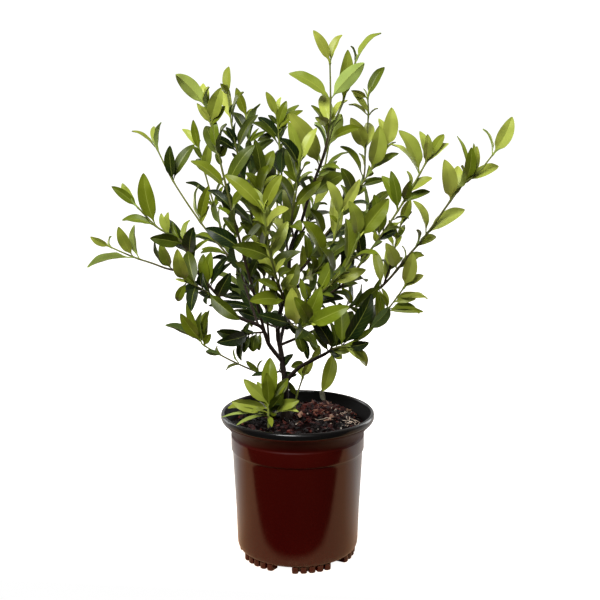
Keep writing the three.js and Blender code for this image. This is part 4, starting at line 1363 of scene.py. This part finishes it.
for nodeName, axes in allStems.items():
    part = newPart()
    low = nodeName in shootPlan
    woody = stemForm["shootWoody" if low else "woody"]
    for axis in axes:
        route = routes[axis["name"]]
        addRod(part, route, twigRadius(axis), lambda f: woody * (1 - f) ** 1.3, stemForm["sides"],
               stemForm["step"], 2, random.random())
        addBud(part, route, (0, 1))
    for leaf, tint, along in leavesByStem[nodeName]:
        overLip = leaf.get("ratio", 1) < 0.2 and "tone" not in leaf  # the two narrow leaves on the lip
        age = 0.2 if overLip else leafAgeAndPaintedLight(leaf, low)
        addLeaf(part, leaf, age, tint, (1, 1) if overLip else (0, 1), along=along,
                widthRatio=leaf.get("ratio"), curl=0.3 if overLip else 1.0)
    makePiece("gardenia_" + nodeName, part, [leafUpper, leafUnder, twigBark], [nodeName])
print("leafy stems made")

# Trunk and limbs
trunkForm = {
    "sides": 20,
    "limbSides": 14,
    "step": 2.5,
    "flare": 2.2,
    "flareMiddle": 0.36,
    "flareReach": 0.13,
    "rough": 0.9,
    "age": 0.92,
}
part = newPart()
for name, limb in limbPlan.items():
    first, last = limb["radii"]
    base = name == "base"

    def limbRadius(fraction, first=first, last=last, base=base):
        away = (fraction - trunkForm["flareMiddle"]) / trunkForm["flareReach"]
        flare = trunkForm["flare"] * math.exp(-(away ** 2)) if base else 0
        return first + (last - first) * fraction + flare

    sides = trunkForm["sides" if base else "limbSides"]
    addRod(part, routes[name], limbRadius, lambda f: trunkForm["age"], sides, trunkForm["step"], 0,
           random.random(), rough=trunkForm["rough"] * (1 if base else 0.5))
makePiece("gardenia_trunk", part, [woodSurface("trunkBark")], ["trunk"], sharpAngle=80)
print("trunk made")

# Pot
potForm = {
    "segments": 180,
    "lipTop": 209,
    "lipStart": 199.6,
    "flareStart": 175,
    "feet": 6,
    "ribs": 5,
    "ribPitch": 8.5,
    "firstFoot": -96.6,
    "footInner": 68,
    "footOuter": 83.4,
    "footTop": 10,
    "slotWidth": 3.2,
    "slotDepth": 7,
    "ribBase": 4.2,
    "ribRound": 2.4,
    "holes": 6,
    "holeRadius": 7,
    "holeRing": 46,
    "holeSpan": (4, 16),
    "holeSides": 32,
}

outerProfile = [
    (0, 9), (60, 9), (78.5, 9), (81.6, 9.5), (83.9, 10.9), (85.4, 13), (86.3, 16), (86.8, 21), (87.5, 44),
    (88.2, 66), (89.8, 97), (91.4, 128), (92.3, 150), (92.45, 155), (92.7, 155.9), (94, 156.4),
    (94.35, 157), (94.4, 158.4), (94.4, 176), (94.1, 177.2), (93.5, 178), (93.4, 179.2), (94, 181),
    (95.2, 183.8), (97.4, 187.6), (100.6, 191.8), (104, 195.4), (106.4, 197.6), (107.2, 198.8),
    (107.1, 199.6), (107.9, 200.3), (108.4, 201.4), (108.4, 205.2), (108, 207), (107, 208.3), (105.6, 209),
    (104.4, 208.9), (103.6, 208.2), (103.1, 206.6),
]
innerProfile = [
    (102.4, 203.4), (99.2, 196), (95.6, 188.6), (92.9, 182.4), (92, 178), (91.2, 160), (90.8, 150),
    (89.7, 128), (85.2, 20), (84.2, 15), (81.5, 12.4), (79, 11), (0, 11),
]


# A profile turned round the pot's axis; slotAt gives the material of each band
def lathePart(part, profile, segments, slotAt):
    rings = []
    for radius, height in profile:
        count = segments if radius > 0 else 1
        ring = []
        for j in range(count):
            angle = j / count * 2 * math.pi
            point = Vector((radius * math.cos(angle), radius * math.sin(angle), height))
            ring.append(addPoint(part, point, (height / potForm["lipTop"], j / count, 0), 0.5, 0.5))
        rings.append(ring)
    for i, (lower, upper) in enumerate(zip(rings, rings[1:])):
        for j in range(segments):
            k = (j + 1) % segments
            a, b = lower[j % len(lower)], lower[k % len(lower)]
            c, d = upper[k % len(upper)], upper[j % len(upper)]
            corners = tuple(dict.fromkeys((a, b, c, d)))
            if len(corners) > 2:
                addFace(part, corners, slotAt(i))


# The plan of one group of ribs, as radius and angle
def ribOutline(startAngle):
    half = potForm["ribPitch"] / 2
    slot = math.degrees(potForm["slotWidth"] / 2 / potForm["footOuter"])
    outer, base, rounding = potForm["footOuter"], potForm["ribBase"], potForm["ribRound"]
    points = [(potForm["footInner"], startAngle)]
    for rib in range(potForm["ribs"]):
        middle = startAngle + (rib + 0.5) * potForm["ribPitch"]
        reach = half - slot
        points.append((outer - base, middle - reach))
        for step in range(7):
            u = -1 + step / 3
            points.append((outer - rounding + rounding * math.sqrt(max(0, 1 - u * u)), middle + u * reach))
        points.append((outer - base, middle + reach))
        if rib < potForm["ribs"] - 1:
            points.append((outer - potForm["slotDepth"], middle + half - slot * 0.7))
            points.append((outer - potForm["slotDepth"], middle + half + slot * 0.7))
    endAngle = startAngle + potForm["ribs"] * potForm["ribPitch"]
    steps = 6
    points += [(potForm["footInner"], endAngle + (startAngle - endAngle) * i / steps) for i in range(steps)]
    return points


# One group of ribs under the floor, a little rounded at its lower edge
def footPart(part, startAngle):
    layers = [(1.6, 0), (0.7, 0.35), (0.15, 1.2), (0, 2.6), (0, potForm["footTop"])]
    outline = ribOutline(startAngle)
    rings = []
    for inset, height in layers:
        ring = []
        for radius, angle in outline:
            drawn = radius - inset if radius > potForm["footInner"] + 4 else radius + inset
            turn = math.radians(angle)
            point = Vector((drawn * math.cos(turn), drawn * math.sin(turn), height))
            ring.append(addPoint(part, point, (height / potForm["lipTop"], angle / 360, 0), 0.5, 0.5))
        rings.append(ring)
    joinRings(part, rings, 0)
    addFace(part, tuple(rings[0][::-1]), 0)


potFinish = {
    "bodyColour": (0.029, 0.0003, 0.0003, 1),
    "warmColour": (0.042, 0.0025, 0.0007, 1),
    "dustColour": (0.08, 0.045, 0.03, 1),
    "rimColour": (0.0045, 0.0042, 0.0042, 1),
    "mottle": 14.0,
    "stretch": 0.35,
    "grain": 130.0,
    "footDust": 0.5,
    "bodySpecks": 0.3,
    "rimSpecks": 0.2,
    "unevenGloss": 0.16,
    "body": {"roughness": 0.13, "shine": 0.5},
    "flare": {"roughness": 0.45, "shine": 0.09},
    "rim": {"roughness": 0.2, "shine": 0.3},
    "inner": {"roughness": 0.6, "shine": 0.06},
}


# Dark red body or black rim, with dust low on the body and pale specks all over
def potSurface(name, zone):
    material, tree = newMaterial(name)
    spots = placeGroup(tree, mottle, Scale=potFinish["mottle"], Stretch=potFinish["stretch"])
    fine = placeGroup(tree, mottle, Scale=potFinish["grain"])
    height = parts(tree, attribute(tree, "place", "Vector"))[0]
    if zone in ("body", "flare"):
        plastic = mixColour(tree, spots["Patches"], potFinish["bodyColour"], potFinish["warmColour"])
        low = minus(tree, 1.0, ease(tree, height, 0.0, 0.16))
        dusty = times(tree, low, ease(tree, fine["Patches"], 0.45, 0.75))
        specks = times(tree, ease(tree, fine["Grain"], 0.66, 0.74), potFinish["bodySpecks"])
        share = plus(tree, times(tree, dusty, potFinish["footDust"]), specks, clamp=True)
        colour = mixColour(tree, share, plastic, potFinish["dustColour"])
    else:
        specks = times(tree, ease(tree, fine["Grain"], 0.62, 0.74), potFinish["rimSpecks"])
        colour = mixColour(tree, specks, potFinish["rimColour"], potFinish["dustColour"])
    gloss = varied(tree, potFinish[zone]["roughness"], spots["Grain"], potFinish["unevenGloss"])
    relief = plus(tree, times(tree, spots["Patches"], 2.0), times(tree, fine["Grain"], 0.12))
    return finished(material, colour, gloss, bump(tree, relief, 0.22, 0.0009), potFinish[zone]["shine"])


part = newPart()
wholeProfile = outerProfile + innerProfile
zoneStarts = [
    next(i for i, point in enumerate(outerProfile) if point[1] >= potForm["flareStart"]),
    next(i for i, point in enumerate(outerProfile) if point[1] >= potForm["lipStart"]),
    len(outerProfile) - 1,
]
lathePart(part, wholeProfile, potForm["segments"], lambda i: sum(i >= start for start in zoneStarts))
for foot in range(potForm["feet"]):
    footPart(part, potForm["firstFoot"] + foot * 360 / potForm["feet"])
potMaterials = [
    potSurface("potPlastic", "body"), potSurface("flarePlastic", "flare"),
    potSurface("rimPlastic", "rim"), potSurface("innerPlastic", "inner"),
]
pot = makePiece("gardenia_pot", part, potMaterials, ["pot"], sharpAngle=38)
for hole in range(potForm["holes"]):
    angle = (hole + 0.5) * 2 * math.pi / potForm["holes"]
    cutter = newPart()
    low, high = potForm["holeSpan"]
    drill = [(0, low), (potForm["holeRadius"], low), (potForm["holeRadius"], high), (0, high)]
    lathePart(cutter, drill, potForm["holeSides"], lambda i: 0)
    cutterMesh = bpy.data.meshes.new("drainCutter")
    shift = Vector((math.cos(angle), math.sin(angle), 0)) * potForm["holeRing"] * mm
    cutterMesh.from_pydata([tuple(p + shift) for p in cutter["points"]], [], cutter["faces"])
    cutterPiece = addObject("drainCutter", cutterMesh)
    cut = pot.modifiers.new("drain", "BOOLEAN")
    cut.operation = "DIFFERENCE"
    cut.object = cutterPiece
    bpy.context.view_layer.objects.active = pot
    bpy.ops.object.modifier_apply(modifier="drain")
    bpy.data.objects.remove(cutterPiece)
print("pot made")

# Soil
soilForm = {
    "edgeHeight": 191,
    "radius": 93.6,
    "mound": 6,
    "relief": 2.4,
    "rings": 46,
    "spokes": 150,
    "heap": (32, 33),
    "heapHeight": 11,
    "heapWidth": 32,
    "chips": 1400,
    "heapChips": 0.3,
    "heapSpread": 21,
    "heapTones": (0.35, 1.0, 0.62),
    "heapLarger": 0.5,
    "chipTones": (0.05, 0.8, 0.18),
    "chipLarger": 0.12,
    "chipGrowth": 1.8,
    "chipLength": (1.4, 3.8),
    "chipWidth": (0.35, 0.75),
    "chipThickness": (0.35, 0.9),
    "chipTilt": 0.45,
    "chipLift": 1.6,
    "chipReach": 91,
    "chipEdge": 90,
    "trunkRoom": 9,
    "perlite": 34,
    "perliteReach": 88,
    "rootsShown": 16,
    "rootReach": 88,
    "rootStep": 4.5,
}


# Surface of the soil: a low mound, a heap beside the trunk, and lumps
def soilHeight(x, y):
    share = math.hypot(x, y) / soilForm["radius"]
    height = soilForm["edgeHeight"] + soilForm["mound"] * (1 - share * share)
    heapX, heapY = soilForm["heap"]
    away = math.hypot(x - heapX, y - heapY) / soilForm["heapWidth"]
    height += soilForm["heapHeight"] * math.exp(-away * away)
    lumps = noise.noise(Vector((x, y, 3)) * 0.09) + 0.6 * noise.noise(Vector((x, y, 9)) * 0.24)
    return height + soilForm["relief"] * lumps * (1 - share ** 8 * 0.5)


soilFinish = {
    "tones": [
        (0, (0.001, 0.0007, 0.0007)), (0.42, (0.005, 0.0016, 0.0014)), (0.66, (0.038, 0.005, 0.004)),
        (0.86, (0.13, 0.026, 0.016)), (1, (0.36, 0.2, 0.13)),
    ],
    "crumbs": 120.0,
    "barkMix": {"roughness": 0.65, "shine": 0.04},
    "barkChip": {"roughness": 0.22, "shine": 0.14},
    "spots": 260.0,
    "dirt": (0.09, 0.055, 0.04, 1),
    "dirtShare": 0.7,
    "perlite": {"colour": (0.6, 0.55, 0.48, 1), "roughness": 0.75},
    "paleRoot": {"colour": (0.6, 0.47, 0.36, 1), "roughness": 0.65},
    "deadLeaf": {"colour": (0.24, 0.24, 0.17, 1), "roughness": 0.6},
}


# Black crumbs, red bark and pale wood by the tint of each chip
def soilSurface(name):
    finish = soilFinish[name]
    material, tree = newMaterial(name)
    tint = attribute(tree, "tint", "Fac")
    crumbs = placeGroup(tree, mottle, Scale=soilFinish["crumbs"])
    colour = ramp(tree, varied(tree, tint, crumbs["Patches"], 0.5), soilFinish["tones"])
    rough = plus(tree, times(tree, crumbs["Grain"], 0.3), finish["roughness"])
    relief = plus(tree, crumbs["Patches"], crumbs["Grain"])
    return finished(material, colour, rough, bump(tree, relief, 0.8, 0.002), finish["shine"])


# Grains, roots and dead leaves, with dirt in patches
def paleSurface(name):
    finish = soilFinish[name]
    material, tree = newMaterial(name)
    spots = placeGroup(tree, mottle, Scale=soilFinish["spots"])
    dirt = times(tree, ease(tree, spots["Patches"], 0.5, 0.8), soilFinish["dirtShare"])
    dirty = mixColour(tree, dirt, finish["colour"], soilFinish["dirt"])
    rough = plus(tree, times(tree, spots["Grain"], 0.2), finish["roughness"])
    return finished(material, dirty, rough, bump(tree, spots["Grain"], 0.5, 0.0006))


# A chip is a six-sided slab with uneven corners
def addChip(part, centre, sizes, turn, tone, slot):
    corners = []
    for z in (-1, 1):
        for x, y in ((-1, -1), (0.1, -1.15), (1, -0.8), (1.1, 0.2), (0.8, 1), (-0.9, 0.9)):
            narrowing = 0.82 if z > 0 else 1
            point = Vector((x * sizes[0] * narrowing, y * sizes[1] * narrowing, z * sizes[2]))
            point += Vector([random.uniform(-0.18, 0.18) * size for size in sizes])
            point.rotate(turn)
            corners.append(addPoint(part, centre + point, (0, 0, tone), tone, tone))
    joinRings(part, [corners[:6], corners[6:]], slot)
    addFace(part, tuple(corners[5::-1]), slot)
    addFace(part, tuple(corners[6:]), slot)


# A place on the soil, evenly spread within the reach
def scattered(within):
    angle, reach = random.uniform(0, 2 * math.pi), within * math.sqrt(random.random())
    return reach * math.cos(angle), reach * math.sin(angle)


part = newPart()
bottom = [(0, 11.3), (79, 11.8), (83.9, 19), (88.4, 128), (89.5, 150), (90.5, 178)]
lathePart(part, bottom, soilForm["spokes"], lambda i: 0)
rimStart = len(part["points"]) - soilForm["spokes"]
rings = [list(range(rimStart, rimStart + soilForm["spokes"]))]
for step in range(soilForm["rings"]):
    radius = soilForm["radius"] * (1 - step / soilForm["rings"])
    ring = []
    for j in range(soilForm["spokes"]):
        angle = j / soilForm["spokes"] * 2 * math.pi
        x, y = radius * math.cos(angle), radius * math.sin(angle)
        tone = 0.3 + 0.35 * noise.noise(Vector((x, y, 20)) * 0.3)
        ring.append(addPoint(part, Vector((x, y, soilHeight(x, y))), (0, 0, 0), 0.5, tone))
    rings.append(ring)
joinRings(part, rings, 0)
top = addPoint(part, Vector((0, 0, soilHeight(0, 0))), (0, 0, 0), 0.5, 0.3)
for j in range(soilForm["spokes"]):
    addFace(part, (rings[-1][j], rings[-1][(j + 1) % soilForm["spokes"]], top), 0)

random.seed(19)
trunkX = limbPlan["base"]["route"][0][0]
for chip in range(soilForm["chips"]):
    heaped = chip < soilForm["chips"] * soilForm["heapChips"]
    if heaped:
        x = random.gauss(soilForm["heap"][0], soilForm["heapSpread"])
        y = random.gauss(soilForm["heap"][1], soilForm["heapSpread"])
    else:
        x, y = scattered(soilForm["chipReach"])
    if math.hypot(x, y) > soilForm["chipEdge"] or math.hypot(x - trunkX, y) < soilForm["trunkRoom"]:
        continue
    long = random.uniform(*soilForm["chipLength"])
    if random.random() < soilForm["heapLarger" if heaped else "chipLarger"]:
        long *= soilForm["chipGrowth"]
    wide = long * random.uniform(*soilForm["chipWidth"])
    sizes = (long, wide, random.uniform(*soilForm["chipThickness"]))
    tilt = soilForm["chipTilt"]
    turn = Euler((random.gauss(0, tilt), random.gauss(0, tilt), random.uniform(0, 6.28)))
    cluster = 0.5 * noise.noise(Vector((x, y, 40)) * 0.07)  # redder and blacker patches
    tone = cluster + random.triangular(*soilForm["heapTones" if heaped else "chipTones"])
    lift = sizes[2] * 0.8 + random.uniform(0, soilForm["chipLift"])
    addChip(part, Vector((x, y, soilHeight(x, y) + lift)), sizes, turn, tone, 4)

for grit in range(soilForm["perlite"]):
    x, y = scattered(soilForm["perliteReach"])
    size = random.uniform(0.4, 1.05)
    turn = Euler([random.uniform(0, 6.28) for axis in range(3)])
    place = Vector((x, y, soilHeight(x, y) + size * 0.9 + random.uniform(0, 1)))
    addChip(part, place, (size, size * 0.9, size * 0.8), turn, 0.5, 1)

for strand in range(soilForm["rootsShown"]):
    x, y = random.uniform(44, 82), random.uniform(-22, 26)
    heading = random.uniform(0, 2 * math.pi)
    route = []
    for step in range(7):
        if math.hypot(x, y) > soilForm["rootReach"]:
            break
        route.append(Vector((x, y, soilHeight(x, y) + 1.6 + random.uniform(-0.8, 1.4))))
        x += soilForm["rootStep"] * math.cos(heading)
        y += soilForm["rootStep"] * math.sin(heading)
        heading += random.uniform(-0.6, 0.6)
    if len(route) > 2:
        addRod(part, route, lambda f: 0.55 - 0.3 * f, lambda f: 0.5, 6, 2.2, 2, 0.5)

deadLeaves = [((40, 62, 200), (-5, 10, 20)), ((-45, 52, 195), (-16, 14, 4))]
for root, reach in deadLeaves:
    addLeaf(part, placedLeaf(root, reach, (0, -1, 1), 0.5), 0.6, 0.5, (3, 3), along=12, curl=2.2)
soilMaterials = [
    soilSurface("barkMix"), paleSurface("perlite"), paleSurface("paleRoot"), paleSurface("deadLeaf"),
    soilSurface("barkChip"),
]
makePiece("gardenia_soil", part, soilMaterials, ["soil"], sharpAngle=35)
print("soil made")

# Floor and light
studio = {
    "floorFront": (0.012, 0.012, 0.012),
    "floorNear": (0.6, 0.36, 0.2),
    "floorBack": (0.72, 0.68, 0.64),
    "floorEdges": (-0.138, -0.116, -0.02, 0.2),
    "floorTurn": 0.1,
    "floorShift": 0.3,
    "floorGlow": 0.98,
    "backdrop": 1.1,
    "ahead": (0.008, 0.008, 0.008),
    "beside": (0.5, 0.4, 0.34),
    "behind": (0.68, 0.67, 0.66),
}
scene.view_settings.view_transform = "Standard"

floorMesh = bpy.data.meshes.new("studioFloor")
floorMesh.from_pydata([(-12, -12, 0), (12, -12, 0), (12, 12, 0), (-12, 12, 0)], [], [(0, 1, 2, 3)])
floor = addObject("studioFloor", floorMesh)
floorMaterial, floorTree = newMaterial("studioFloor")
floorInputs = floorTree.nodes["Principled BSDF"].inputs
floorX, floorY = parts(floorTree, floorTree.nodes.new("ShaderNodeTexCoord").outputs["Object"])[:2]
floorPlace = plus(floorTree, floorY, times(floorTree, floorX, studio["floorTurn"]))
edges = [edge + studio["floorShift"] for edge in studio["floorEdges"]]
floorColour = ramp(floorTree, plus(floorTree, floorPlace, studio["floorShift"]), [
    (edges[0], studio["floorFront"]), (edges[1], studio["floorNear"]), (edges[2], studio["floorNear"]),
    (edges[3], studio["floorBack"]),
])
join(floorTree, floorColour, floorInputs["Base Color"])
floorInputs["Roughness"].default_value = 0.9
floorInputs["Specular IOR Level"].default_value = 0.0
floorInputs["Emission Color"].default_value = (1, 1, 1, 1)
seenDirectly = floorTree.nodes.new("ShaderNodeLightPath").outputs["Is Camera Ray"]
glow = times(floorTree, seenDirectly, studio["floorGlow"])
join(floorTree, glow, floorInputs["Emission Strength"])
floorMesh.materials.append(floorMaterial)

# The backdrop is white to the eye and dimmer as a light, so that the foliage keeps its dark inside
world = bpy.data.worlds.new("studioWorld")
world.use_nodes = True
worldTree = world.node_tree
backdrop = worldTree.nodes["Background"]
seenDirectly = worldTree.nodes.new("ShaderNodeLightPath").outputs["Is Camera Ray"]
towards = parts(worldTree, worldTree.nodes.new("ShaderNodeTexCoord").outputs["Generated"])[1]
lightRound = ramp(worldTree, calc(worldTree, "MULTIPLY_ADD", towards, 0.5, third=0.5), [
    (0.4, studio["ahead"]), (0.54, studio["beside"]), (0.74, studio["behind"]), (1, studio["behind"]),
])
shown = mixColour(worldTree, seenDirectly, lightRound, (studio["backdrop"],) * 3 + (1,))
join(worldTree, shown, backdrop.inputs[0])
backdrop.inputs[1].default_value = 1
scene.world = world

# Area lamps: place, what each one points at, size and power
lamps = {
    "keyLamp": [(-0.6, -1.9, 2.1), (0, 0, 0.42), (1.1, 1.1), 110],
    "leftLamp": [(-1.5, 1.1, 0.8), (0, 0, 0.3), (0.7, 1.5), 11],
    "rightLamp": [(1.5, 1.1, 0.8), (0, 0, 0.3), (0.7, 1.5), 17.6],
    "frontLamp": [(0.4, -2.6, 1.6), (0, 0, 0.4), (1.2, 0.9), 5],
}
for name, (place, aim, size, power) in lamps.items():
    lampData = bpy.data.lights.new(name, "AREA")
    lampData.shape = "RECTANGLE"
    lampData.size, lampData.size_y = size
    lampData.energy = power
    lamp = addObject(name, lampData)
    lamp.location = place
    lamp.rotation_euler = (Vector(aim) - Vector(place)).to_track_quat("-Z", "Y").to_euler()
print("floor and lamps made")
